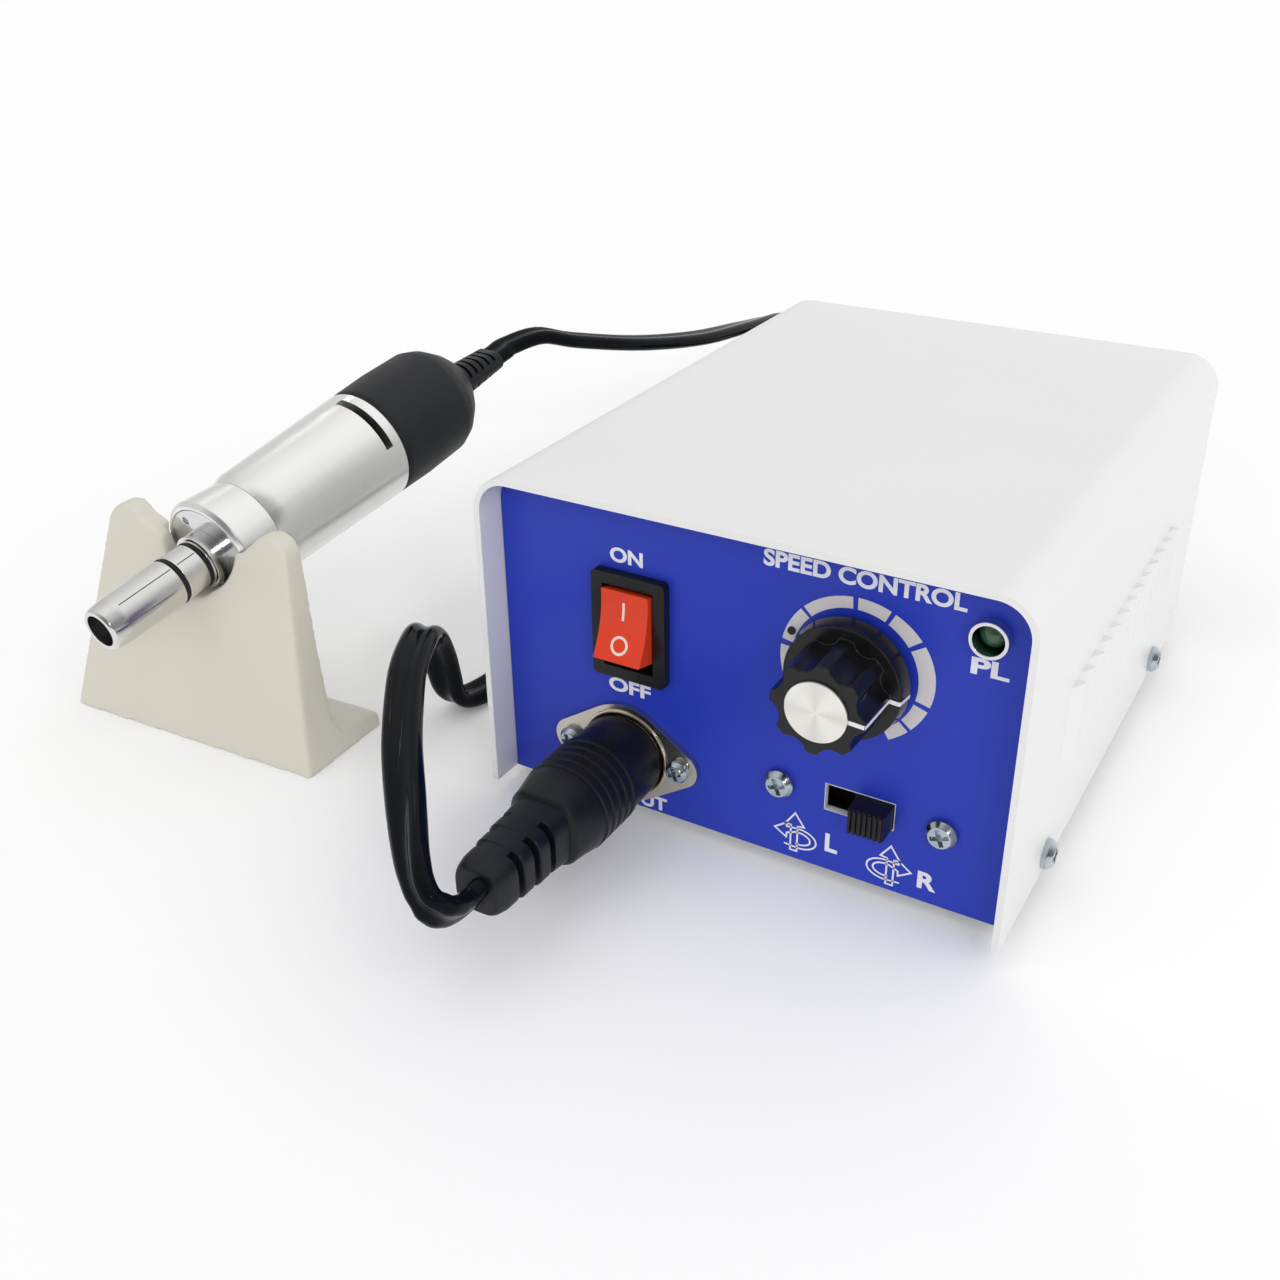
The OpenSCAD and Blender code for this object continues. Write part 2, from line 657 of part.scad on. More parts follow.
module chassis() {
    color([0.75, 0.76, 0.78]) in_box() difference() {
        union() {
            translate([in_x, plate_y, 0]) cube([in_w, rear_y - plate_y, sheet]);
            for (x = [in_x, in_x + in_w - sheet]) translate([x, plate_y, 0])
                cube([sheet, rear_y - plate_y, lip_h]);
            for (y = [plate_y, rear_y - sheet]) slab_y(y, sheet) arch(in_x, in_w, in_h, plate_bend);
        }
        panel_cuts(plate_y - cut, sheet + 2 * cut);
        slab_y(rear_y - sheet - cut, sheet + 2 * cut) translate([inlet_x, inlet_z])
            square([inlet_body[0] + 2 * fit, inlet_body[1] + 2 * fit], center = true);
        for (s = [-1, 1]) rod_y(inlet_x + s * inlet_screw_pitch / 2, inlet_z, rear_y - sheet - cut,
            sheet + 2 * cut, screw_hole);
        rod_y(jack_x, jack_z, rear_y - sheet - cut, sheet + 2 * cut, jack_bush_r + fit);
        rod_y(jack_x, fuse_z, rear_y - sheet - cut, sheet + 2 * cut, fuse_r + fit);
        for (y = cover_screw_y) translate([-cut, y, cover_screw_z]) rotate([0, 90, 0])
            cylinder(h = box_w + 2 * cut, r = screw_hole);
        foot_places() cylinder(h = 2 * sheet + 2 * cut, r = foot_stem_r + snug, center = true);
        standoff_places() cylinder(h = 2 * sheet + 2 * cut, r = screw_hole, center = true);
        core_screw_places() cylinder(h = 2 * sheet + 2 * cut, r = screw_hole, center = true);
    }
}
module front_overlay() {
    color([0.16, 0.22, 0.66]) in_box() difference() {
        slab_y(front_recess, overlay_t) arch(in_x, in_w, in_h, plate_bend);
        panel_cuts(front_recess - cut, overlay_t + 2 * cut);
    }
}
module cover_screws() {
    color([0.72, 0.75, 0.8]) in_box() for (y = cover_screw_y) for (side = [0, 1])
        translate([side * box_w, y, cover_screw_z]) rotate([0, side * 180 - 90, 0])
            pan_screw(screw_r, screw_head_r, screw_head_h, screw_l);
}
module foot_places() {
    for (x = [foot_inset, box_w - foot_inset]) for (y = [foot_inset + plate_y, box_d - foot_inset])
        translate([x, y, 0]) children();
}
module rubber_feet() {
    color([0.1, 0.1, 0.1]) in_box() foot_places() {
        translate([0, 0, -foot_h]) cylinder(h = foot_h, r1 = foot_r - 0.6, r2 = foot_r);
        cylinder(h = sheet, r = foot_stem_r);
        translate([0, 0, sheet]) cylinder(h = foot_button_h, r = foot_button_r);
    }
}

// Power switch
module power_switch_housing() {
    color([0.06, 0.06, 0.07]) in_box() difference() {
        union() {
            slab_y(front_recess - bezel_t, bezel_t) translate([rocker_x, rocker_z])
                round_rect(bezel_w, bezel_h, 1);
            slab_y(front_recess, switch_body_d) translate([rocker_x, rocker_z])
                square([switch_body_w, switch_body_h], center = true);
        }
        slab_y(front_recess - bezel_t - cut, bezel_t + cut + rocker_well_d) translate([rocker_x, rocker_z])
            square([rocker_well_w, rocker_well_h], center = true);
        translate([rocker_x, front_recess + rocker_pivot, rocker_z]) rotate([0, 90, 0])
            cylinder(h = bezel_w, r = pivot_r + run, center = true);
    }
}
module power_rocker() {
    color([0.82, 0.2, 0.12]) in_box() translate([rocker_x, front_recess + rocker_pivot, rocker_z])
        rotate([-rocker_swing / 2, 0, 0]) {
            bar_x(rocker_w) polygon(concat(
                [for (s = [-1:0.2:1.01]) [-rocker_valley - rocker_dish * s * s, rocker_half * s]],
                [[0.5, rocker_half], [rocker_cam, rocker_half / 2], [rocker_cam, -rocker_half / 2],
                    [0.5, -rocker_half]]));
            rotate([0, 90, 0]) cylinder(h = switch_body_w - 0.4, r = pivot_r, center = true);
        }
}
module switch_terminals() {
    color([0.75, 0.62, 0.3]) in_box() for (s = [-1, 1])
        translate([rocker_x - terminal_w / 2, front_recess + switch_body_d,
            rocker_z + s * terminal_z - terminal_t / 2]) cube([terminal_w, terminal_l, terminal_t]);
}

// Output socket
module flange_outline() {
    d = flange_pitch / 2;
    a = acos((flange_r - lobe_r) / d);
    circle(flange_r);
    for (s = [-1, 1]) {
        translate([s * d, 0]) circle(lobe_r);
        polygon([[0, 0], [s * flange_r * cos(a), flange_r * sin(a)],
            [s * (d + lobe_r * cos(a)), lobe_r * sin(a)], [s * (d + lobe_r * cos(a)), -lobe_r * sin(a)],
            [s * flange_r * cos(a), -flange_r * sin(a)]]);
    }
}
module socket_flange() {
    color([0.74, 0.7, 0.62]) in_box() translate([socket_x, 0, socket_z]) {
        difference() {
            slab_y(flange_y, flange_t) flange_outline();
            rod_y(0, 0, flange_y - cut, flange_t + 2 * cut, barrel_bore);
            for (s = [-1, 1]) rod_y(s * flange_pitch / 2, 0, flange_y - cut, flange_t + 2 * cut, screw_hole);
        }
        translate([0, flange_y, 0]) rotate([-90, 0, 0]) {
            difference() {
                rotate_extrude() translate([barrel_bore + rim_r, 0]) circle(rim_r, $fn = 24);
                cylinder(h = 2 * rim_r, r = flange_r + cut);
            }
            tube(flange_t, barrel_l - flange_t, barrel_r, barrel_bore);
        }
    }
}
module socket_insert() {
    color([0.12, 0.12, 0.13]) in_box() translate([socket_x, 0, socket_z]) difference() {
        union() {
            rod_y(0, 0, core_y, core_end - core_y, core_r);
            rod_y(0, 0, core_end - core_disc, core_disc, barrel_bore - snug);
            for (a = [90, 210, 330]) rod_y(pin_circle * cos(a), pin_circle * sin(a), core_end, tail_l, pin_r);
        }
        for (a = [90, 210, 330]) rod_y(pin_circle * cos(a), pin_circle * sin(a), core_y - cut,
            plug_y + pin_l - core_y + cut + loose, pin_r + fit);
    }
}
module socket_screws() {
    color([0.72, 0.75, 0.8]) in_box() for (s = [-1, 1])
        front_screw(socket_x + s * flange_pitch / 2, socket_z, flange_y, flange_screw_l, flange_head_r);
}

// Plug on the cord's end
module plug_body() {
    ribs = plug_rib_n;
    rib_end = plug_rib_y + ribs * plug_rib_pitch;
    outline = concat([[0, 0], [plug_front_r - 0.5, 0], [plug_front_r, 0.5], [plug_front_r + 0.1, plug_rib_y]],
        [for (i = [0:ribs - 1]) each [[plug_rib_r, plug_rib_y + i * plug_rib_pitch + 0.3],
            [plug_rib_r, plug_rib_y + i * plug_rib_pitch + 1.6],
            [plug_rib_r - 0.5, plug_rib_y + i * plug_rib_pitch + 1.8],
            [plug_rib_r - 0.5, plug_rib_y + (i + 1) * plug_rib_pitch]]],
        [[7.6, rib_end + 3.5], [7.2, rib_end + 6], [5.9, rib_end + 6.8], [5.7, rib_end + 11.2]],
        [for (i = [0:2]) each [[3.9, rib_end + 11.3 + i * 4], [3.9, rib_end + 12.7 + i * 4],
            [5.4 - i * 0.2, rib_end + 12.8 + i * 4], [5.3 - i * 0.2, rib_end + 15.2 + i * 4]]],
        [[plug_end_r, plug_l], [0, plug_l]]);
    color([0.07, 0.07, 0.08]) in_box() translate([socket_x, plug_y, socket_z]) rotate([90, 0, 0])
        rotate_extrude() polygon(outline);
}
module plug_shell() {
    color([0.8, 0.8, 0.82]) in_box() translate([socket_x, plug_y, socket_z]) rotate([-90, 0, 0])
        tube(0, shell_l, shell_r, shell_r - shell_wall);
}
module plug_pins() {
    color([0.8, 0.68, 0.35]) in_box() for (a = [90, 210, 330])
        rod_y(socket_x + pin_circle * cos(a), socket_z + pin_circle * sin(a), plug_y, pin_l, pin_r);
}

// Speed control
module speed_pot() {
    case_y = plate_y + sheet;
    color([0.55, 0.56, 0.58]) in_box() translate([knob_x, 0, knob_z]) difference() {
        union() {
            rod_y(0, 0, case_y, pot_d, pot_r);
            rod_y(0, 0, front_recess - bush_l, case_y - front_recess + bush_l, bush_r);
            rod_y(pot_pin[0], pot_pin[1], front_recess - 0.4, case_y + 1.2 - front_recess + 0.4, pot_pin_r);
            translate([pot_pin[0] - pot_pin_r, case_y, pot_pin[1] - pot_pin_r])
                cube([-pot_pin[0], 1.2, 2 * pot_pin_r]);
            for (s = [-1, 0, 1]) translate([s * 4 - 1, case_y + 3, -pot_r - 5]) cube([2, 0.8, 8]);
        }
        rod_y(0, 0, front_recess - bush_l - cut, shaft_rear + run - front_recess + bush_l + cut,
            shaft_r + run);
    }
}
module pot_nut() {
    color([0.7, 0.7, 0.72]) in_box() translate([knob_x, 0, knob_z]) difference() {
        translate([0, front_recess - nut_t, 0]) rotate([-90, 0, 0])
            cylinder(h = nut_t, r = nut_flat / 2 / cos(30), $fn = 6);
        rod_y(0, 0, front_recess - nut_t - cut, nut_t + 2 * cut, bush_r + snug);
    }
}
module pot_shaft() {
    color([0.75, 0.75, 0.77]) in_box() rod_y(knob_x, knob_z, shaft_front, shaft_rear - shaft_front, shaft_r);
}
module speed_knob() {
    color([0.06, 0.06, 0.07]) in_box() translate([knob_x, 0, knob_z]) difference() {
        translate([0, skirt_y, 0]) rotate([90, 0, 0]) rotate_extrude() polygon([[0, 0], [skirt_r, 0],
            [skirt_r - skirt_edge, skirt_t], [grip_r, skirt_t], [grip_front_r, skirt_t + grip_l],
            [0, skirt_t + grip_l]]);
        for (i = [0:flute_n - 1]) let (a = 90 - knob_turn + (i + 0.5) * 360 / flute_n)
            translate([flute_at * cos(a), grip_front - cut, flute_at * sin(a)]) rotate([-90, 0, 0])
                cylinder(h = grip_l + cut, r1 = flute_at - grip_front_r + flute_depth,
                    r2 = flute_at - grip_r + flute_depth);
        rod_y(0, 0, knob_hollow_end, skirt_y - knob_hollow_end + cut, knob_hollow_r);
        rod_y(0, 0, shaft_front, skirt_y - shaft_front + cut, shaft_r + snug / 2);
    }
}
module knob_cap() {
    color([0.82, 0.82, 0.82]) in_box() rod_y(knob_x, knob_z, grip_front - cap_t, cap_t, cap_r);
}

// Pilot light
module led_bezel() {
    color([0.85, 0.85, 0.87]) in_box() translate([lamp_x, front_recess, lamp_z]) rotate([-90, 0, 0]) {
        tube(-ring_out, ring_out, ring_r, lamp_r + snug);
        tube(0, ring_tube_l, ring_tube_r, lamp_r + snug);
    }
}
module pilot_led() {
    color([0.1, 0.35, 0.18]) in_box() translate([lamp_x, front_recess, lamp_z]) rotate([-90, 0, 0]) {
        intersection() {
            translate([0, 0, -lamp_out]) cylinder(h = lamp_out + ring_tube_l, r = lamp_r);
            union() {
                translate([0, 0, lamp_r - lamp_out]) sphere(lamp_r);
                translate([0, 0, lamp_r - lamp_out]) cylinder(h = ring_tube_l + lamp_out, r = lamp_r);
            }
        }
        translate([0, 0, ring_tube_l]) cylinder(h = lamp_foot, r = lamp_foot_r);
        for (s = [-1, 1]) translate([s * lead_gap, 0, ring_tube_l + lamp_foot])
            cylinder(h = lead_l, r = lead_r);
    }
}

// Direction switch
module direction_switch() {
    color([0.6, 0.61, 0.63]) in_box() translate([slide_x, 0, slide_z]) difference() {
        union() {
            slab_y(frame_y, frame_t) square([frame_w, frame_h], center = true);
            slab_y(frame_y + frame_t, switch_case_d) square([switch_case_w, switch_case_h], center = true);
            for (s = [-1, 0, 1]) translate([s * contact_pitch - contact[0] / 2,
                frame_y + frame_t + switch_case_d, -contact[2] / 2]) cube(contact);
        }
        slab_y(frame_y - cut, frame_t + 2 * cut) square([window_w, window_h], center = true);
        slab_y(frame_y + frame_t, switch_well_d) square([switch_well_w, switch_well_h], center = true);
        for (s = [-1, 1]) rod_y(s * slide_pitch / 2, 0, frame_y - cut, frame_t + 2 * cut, screw_hole);
    }
}
module direction_slider() {
    foot_y = frame_y + frame_t + loose;
    color([0.08, 0.08, 0.09]) in_box() translate([slide_x + slider_travel / 2, 0, slide_z]) {
        slab_y(front_recess - slider_out, foot_y + slider_foot_t - front_recess + slider_out)
            square([slider_w, slider_h], center = true);
        slab_y(foot_y, slider_foot_t) square([slider_foot_w, slider_foot_h], center = true);
    }
}
module direction_screws() {
    color([0.72, 0.75, 0.8]) in_box() for (s = [-1, 1])
        front_screw(slide_x + s * slide_pitch / 2, slide_z, front_recess, screw_l, screw_head_r);
}

// Inside the box
module standoff_places() {
    for (x = [standoff_inset, board[0] - standoff_inset])
        for (y = [standoff_inset, board[1] - standoff_inset])
            translate([board_at[0] + x, board_at[1] + y, 0]) children();
}
module circuit_board() {
    color([0.1, 0.4, 0.2]) in_box() difference() {
        translate([board_at[0], board_at[1], board_z]) cube(board);
        standoff_places() translate([0, 0, board_z - cut]) cylinder(h = board[2] + 2 * cut, r = screw_hole);
    }
}
module board_standoffs() {
    color([0.8, 0.7, 0.4]) in_box() standoff_places() tube(sheet, standoff_h, standoff_r, screw_r + snug);
}
module board_screws() {
    color([0.72, 0.75, 0.8]) in_box() standoff_places() translate([0, 0, board_z + board[2]])
        pan_screw(screw_r, screw_head_r, screw_head_h, board[2] + standoff_h);
}
module core_screw_places() {
    for (x = [-strap_hole, core_size[0] + strap_hole])
        translate([core_at[0] + x, core_at[1] + core_size[1] / 2, 0]) children();
}
module transformer_core() {
    window = [core_size[0] / 2 - 1.5 * core_leg, core_size[2] - 2 * core_leg];
    color([0.3, 0.31, 0.33]) in_box() {
        difference() {
            translate([core_at[0], core_at[1], sheet]) cube(core_size);
            for (s = [-1, 1]) translate([core_at[0] + core_size[0] / 2 + s * (core_leg + window[0]) / 2,
                core_at[1] + core_size[1] / 2, sheet + core_size[2] / 2])
                cube([window[0], core_size[1] + 2 * cut, window[1]], center = true);
        }
        difference() {
            translate([core_at[0] - strap[0], core_at[1] + core_size[1] / 2 - strap[1] / 2, sheet])
                cube([core_size[0] + 2 * strap[0], strap[1], strap[2]]);
            core_screw_places() cylinder(h = 2 * sheet + 2 * cut, r = screw_hole);
        }
    }
}
module transformer_coil() {
    window = [core_size[0] / 2 - 1.5 * core_leg, core_size[2] - 2 * core_leg];
    w = core_leg + 2 * window[0] - 2 * loose;
    h = window[1] - 2 * loose;
    color([0.7, 0.4, 0.2]) in_box() translate([core_at[0] + core_size[0] / 2, core_at[1] + core_size[1] / 2,
        sheet + core_size[2] / 2]) difference() {
        cube([w, core_size[1] + 2 * coil_over, h], center = true);
        cube([core_leg + 2 * snug, core_size[1] + 2 * snug, h + 2 * cut], center = true);
    }
}
module transformer_screws() {
    color([0.72, 0.75, 0.8]) in_box() core_screw_places() translate([0, 0, sheet + strap[2]])
        pan_screw(screw_r, screw_head_r, screw_head_h, sheet + strap[2]);
}
module filter_capacitor() {
    color([0.15, 0.18, 0.35]) in_box()
        translate([board_at[0] + board[0] / 2, board_at[1] + board[1] * cap_can_share, board_z + board[2]])
            cylinder(h = cap_can_h, r = cap_can_r);
}
module heat_sink() {
    pitch = (sink_w - sink_fin_t) / (sink_fins - 1);
    color([0.2, 0.2, 0.22]) in_box()
        translate([board_at[0] + (board[0] - sink_w) / 2, board_at[1] + board[1] * sink_share,
            board_z + board[2]]) {
            cube([sink_w, sink_back, sink_h]);
            for (i = [0:sink_fins - 1]) translate([i * pitch, 0, 0]) cube([sink_fin_t, sink_d, sink_h]);
        }
}

// Rear fittings
module mains_inlet() {
    color([0.08, 0.08, 0.09]) in_box() translate([inlet_x, 0, inlet_z]) difference() {
        union() {
            slab_y(rear_y, inlet_flange[2]) round_rect(inlet_flange[0], inlet_flange[1], 3);
            slab_y(rear_y - inlet_body[2], inlet_body[2])
                square([inlet_body[0], inlet_body[1]], center = true);
        }
        slab_y(rear_y + inlet_flange[2] - inlet_mouth[2], inlet_mouth[2] + cut)
            round_rect(inlet_mouth[0], inlet_mouth[1], 2);
        for (s = [-1, 1])
            rod_y(s * inlet_screw_pitch / 2, 0, rear_y - cut, inlet_flange[2] + 2 * cut, screw_hole);
    }
}
module inlet_pins() {
    color([0.8, 0.7, 0.4]) in_box() for (s = [-1, 0, 1])
        translate([inlet_x + s * inlet_pin_dx - inlet_pin[1] / 2, rear_y + inlet_flange[2] - inlet_mouth[2],
            inlet_z + (0.5 - abs(s)) * inlet_pin_dz - inlet_pin[0] / 2])
            cube([inlet_pin[1], inlet_pin[2], inlet_pin[0]]);
}
module inlet_screws() {
    color([0.72, 0.75, 0.8]) in_box() for (s = [-1, 1])
        translate([inlet_x + s * inlet_screw_pitch / 2, rear_y + inlet_flange[2], inlet_z])
            rotate([-90, 0, 0]) pan_screw(screw_r, screw_head_r, screw_head_h, flange_screw_l);
}
module fuse_holder() {
    color([0.1, 0.1, 0.11]) in_box() translate([jack_x, rear_y, fuse_z]) rotate([-90, 0, 0]) {
        tube(0, fuse_rim_t, fuse_rim_r, fuse_cap_r + fit);
        tube(-fuse_l + fuse_rim_t, fuse_l - fuse_rim_t, fuse_r, fuse_cap_r - 1);
    }
}
module fuse_cap() {
    color([0.12, 0.12, 0.13]) in_box() translate([jack_x, rear_y, fuse_z]) rotate([-90, 0, 0]) difference() {
        cylinder(h = fuse_rim_t + fuse_cap_out, r = fuse_cap_r);
        translate([-fuse_cap_r, -fuse_slot / 2, fuse_rim_t + fuse_cap_out - fuse_slot])
            cube([2 * fuse_cap_r, fuse_slot, fuse_slot + cut]);
    }
}
module foot_pedal_jack() {
    color([0.1, 0.1, 0.11]) in_box() translate([jack_x, rear_y - sheet, jack_z]) difference() {
        union() {
            rod_y(0, 0, 0, sheet + jack_out, jack_bush_r);
            translate([-jack_case[0] / 2, -jack_case[1], -jack_case[2] / 2]) cube(jack_case);
        }
        rod_y(0, 0, 2 - jack_case[1], jack_case[1] + sheet + jack_out, jack_bore);
    }
}
module jack_nut() {
    color([0.75, 0.75, 0.77]) in_box() translate([jack_x, rear_y, jack_z]) rotate([-90, 0, 0]) difference() {
        cylinder(h = jack_nut_t, r = jack_nut_flat / 2 / cos(30), $fn = 6);
        translate([0, 0, -cut]) cylinder(h = jack_nut_t + 2 * cut, r = jack_bush_r + snug);
    }
}

// Stand
module stand_outline() {
    slope = [stand_w / 2 - horn_x, stand_h - horn_r];
    side = acos(horn_r / norm(slope)) - atan2(slope[1], slope[0]);
    weld = horn_r - snug;
    outer = [horn_x + weld * cos(side), stand_h - horn_r + weld * sin(side)];
    inner = [horn_x + weld * cos(horn_flare), stand_h - horn_r + weld * sin(horn_flare)];
    notch_z = rest_h + notch_drop;
    difference() {
        union() {
            polygon([[-stand_w / 2, 0], [stand_w / 2, 0], outer, [horn_x, stand_h - horn_r], inner,
                [hand_dx + notch_r, notch_z], [hand_dx - notch_r, notch_z], [-inner[0], inner[1]],
                [-horn_x, stand_h - horn_r], [-outer[0], outer[1]]]);
            for (s = [-1, 1]) translate([s * horn_x, stand_h - horn_r]) circle(horn_r);
        }
        translate([hand_dx, notch_z]) circle(notch_r);
    }
}
module handpiece_stand() {
    top_y = stand_h * tan(stand_lean);
    seat_r = ring_front_r + loose;
    color([0.84, 0.82, 0.77]) difference() {
        in_stand() intersection() {
            slab_y(0, stand_d) stand_outline();
            bar_x(stand_w) polygon([[0, 0], [top_y, stand_h], [top_y + stand_top, stand_h], stand_waist,
                stand_neck, stand_heel, [stand_d, stand_foot_h], [stand_d, 0]]);
        }
        in_hand() {
            translate([0, 0, -nose_l]) cylinder(h = nose_l + cut, r = boss_r + loose);
            translate([0, 0, -loose]) cylinder(h = stand_d * 2, r = seat_r);
            translate([-seat_r, -stand_h, -loose]) cube([2 * seat_r, stand_h, stand_d * 2]);
        }
    }
}

// Handpiece
module coupling_nose() {
    outline = concat([[nose_bore, -nose_l], [nose_tip_r - 0.4, -nose_l], [nose_tip_r, 0.5 - nose_l],
            [nose_r, nose_tip_l - nose_l]],
        [for (t = o_ring_at) each [[nose_r, t - o_ring_t - snug], [groove_r, t - o_ring_t - snug],
            [groove_r, t + o_ring_t + snug], [nose_r, t + o_ring_t + snug]]],
        [[nose_r, -boss_l], [boss_r, -boss_l], [boss_r, 0], [spigot_r, 0], [spigot_r, spigot_l],
            [nose_bore, spigot_l]]);
    color([0.8, 0.8, 0.82]) in_hand() rotate_extrude() polygon(outline);
}
module nose_o_rings() {
    color([0.05, 0.05, 0.05]) in_hand() for (t = o_ring_at) translate([0, 0, t])
        rotate_extrude() translate([o_ring_r, 0]) circle(o_ring_t, $fn = 24);
}
module face_screw_places() {
    for (a = [60, 240]) rotate([0, 0, a]) translate([face_screw_circle, 0, 0]) children();
}
module front_plate() {
    color([0.72, 0.72, 0.73]) in_hand() difference() {
        tube(0, face_plate_t, plate_r, spigot_r + snug);
        face_screw_places() translate([0, 0, -cut])
            cylinder(h = face_plate_t + 2 * cut, r = face_screw_r + snug);
    }
}
module front_plate_screws() {
    color([0.55, 0.5, 0.42]) in_hand() face_screw_places() difference() {
        translate([0, 0, 0.3]) cylinder(h = web_at - 0.3, r = face_screw_r);
        translate([-face_screw_r, -0.15, 0]) cube([2 * face_screw_r, 0.3, 0.7]);
    }
}
module front_ring() {
    color([0.78, 0.78, 0.79]) in_hand() rotate_extrude() polygon([[plate_r + snug, 0],
        [ring_front_r - ring_bevel, 0], [ring_front_r, ring_bevel], [ring_front_r - ring_step, ring_l],
        [plate_r + snug, ring_l]]);
}
module motor_barrel() {
    outline = [[bearing_r + snug, web_at], [plate_r, web_at], [plate_r, ring_l],
        [barrel_front_r - ring_step, ring_l], [barrel_front_r, ring_l + ring_step_l],
        [barrel_rear_r, barrel_end - 0.6],
        [barrel_rear_r - 0.6, barrel_end], [cap_in_r, barrel_end], [cap_in_r, barrel_end - cap_spigot_l],
        [barrel_in_r, barrel_end - cap_spigot_l], [barrel_in_r, web_at + web_t],
        [bearing_r + snug, web_at + web_t]];
    color([0.8, 0.8, 0.81]) in_hand() difference() {
        rotate_extrude() polygon(outline);
        intersection() {
            tube(vent_at, vent_w, barrel_rear_r + cut, barrel_in_r - cut);
            rotate([0, 0, vent_turn - 45]) translate([0, 0, vent_at]) linear_extrude(vent_w)
                polygon(vent_reach * [[0, 0], [1, vent_edge], [1, 1], [vent_edge, 1]]);
        }
    }
}
module stator_magnets() {
    color([0.25, 0.25, 0.27]) in_hand() difference() {
        tube(magnet_at, magnet_l, barrel_in_r - snug, magnet_in_r);
        translate([-barrel_in_r, -1.5, magnet_at - cut]) cube([2 * barrel_in_r, 3, magnet_l + 2 * cut]);
    }
}
module rotor_bearings() {
    color([0.7, 0.7, 0.72]) in_hand() {
        tube(web_at, bearing_t, bearing_r, rotor_r + run);
        tube(holder_at + 0.8, bearing_t, bearing_r, rotor_r + run);
    }
}
module brush_holder() {
    color([0.2, 0.15, 0.1]) in_hand() {
        difference() {
            tube(holder_at, holder_t, cap_in_r - snug, rotor_r + 1);
            translate([0, 0, holder_at + 0.8]) cylinder(h = holder_t, r = bearing_r + snug);
        }
        for (a = [0, 180]) rotate([0, 0, a])
            translate([comm_r + brush_gap + 0.4, -brush_box[0] / 2, holder_at - brush_box[2]]) difference() {
                cube([brush_box[1], brush_box[0], brush_box[2]]);
                translate([-cut, (brush_box[0] - brush[0]) / 2 - snug, (brush_box[2] - brush[2]) / 2 - snug])
                    cube([brush_box[1] + 2 * cut, brush[0] + 2 * snug, brush[2] + 2 * snug]);
            }
    }
}
module carbon_brushes() {
    color([0.15, 0.15, 0.15]) in_hand() for (a = [0, 180]) rotate([0, 0, a])
        translate([comm_r + brush_gap, -brush[0] / 2, holder_at - (brush_box[2] + brush[2]) / 2])
            cube([brush[1], brush[0], brush[2]]);
}
module rear_cap() {
    outline = [[cap_in_r, barrel_end], [barrel_rear_r - 0.5, barrel_end], [barrel_rear_r, barrel_end + 1],
        [barrel_rear_r + cap_bulge, barrel_end + 10], [barrel_rear_r, cap_shoulder - 3],
        [barrel_rear_r - 1, cap_shoulder], [barrel_rear_r - 3.4, cap_shoulder + 3.6],
        [barrel_rear_r - 6, cap_end - 1.6], [cap_end_r, cap_end], [strain_r + snug, cap_end],
        [strain_r + snug, strain_seat], [strain_flange_r + snug, strain_seat],
        [strain_flange_r + snug, strain_seat - strain_flange_t],
        [cap_in_r - cap_wall - 1, cap_shoulder - 1], [cap_in_r, cap_shoulder - 4]];
    color([0.12, 0.13, 0.14]) in_hand() rotate_extrude() polygon(outline);
}
module strain_relief() {
    ribs_at = cap_end + 1.6;
    color([0.08, 0.08, 0.09]) in_hand() difference() {
        union() {
            translate([0, 0, strain_seat - strain_flange_t])
                cylinder(h = strain_flange_t, r = strain_flange_r);
            translate([0, 0, strain_seat]) cylinder(h = cap_end - strain_seat, r = strain_r);
            hull($fn = 32) {
                translate([0, 0, cap_end]) cylinder(h = 0.5, r = strain_r);
                translate([0, 0, strain_end - 0.5]) linear_extrude(0.5)
                    round_rect(strain_tip_w, strain_tip_t, strain_tip_t / 2 - 0.01);
            }
        }
        for (i = [0:strain_ribs - 1]) translate([0, 0, ribs_at + i * strain_rib_pitch]) for (s = [-1, 1])
            translate([-strain_flange_r, s > 0 ? 1.3 : -1.3 - strain_flange_r, 0])
                cube([2 * strain_flange_r, strain_flange_r, strain_rib_w]);
    }
}
module rotor_shaft() {
    color([0.7, 0.71, 0.73]) in_hand() {
        translate([0, 0, dog_at + dog_l]) cylinder(h = rotor_end - dog_at - dog_l, r = rotor_r);
        difference() {
            translate([0, 0, dog_at]) cylinder(h = dog_l, r = dog_r);
            translate([-dog_r, -0.7, dog_at - cut]) cube([2 * dog_r, 1.4, 4 + cut]);
        }
    }
}
module armature_core() {
    color([0.35, 0.3, 0.28]) in_hand() difference() {
        tube(magnet_at, magnet_l, armature_r, rotor_r + snug / 2);
        for (a = [0:120:240]) rotate([0, 0, a]) translate([armature_r - 2.6, -0.9, magnet_at - cut])
            cube([4, 1.8, magnet_l + 2 * cut]);
    }
}
module commutator() {
    color([0.72, 0.45, 0.25]) in_hand() tube(comm_at, comm_l, comm_r, rotor_r + snug / 2);
}

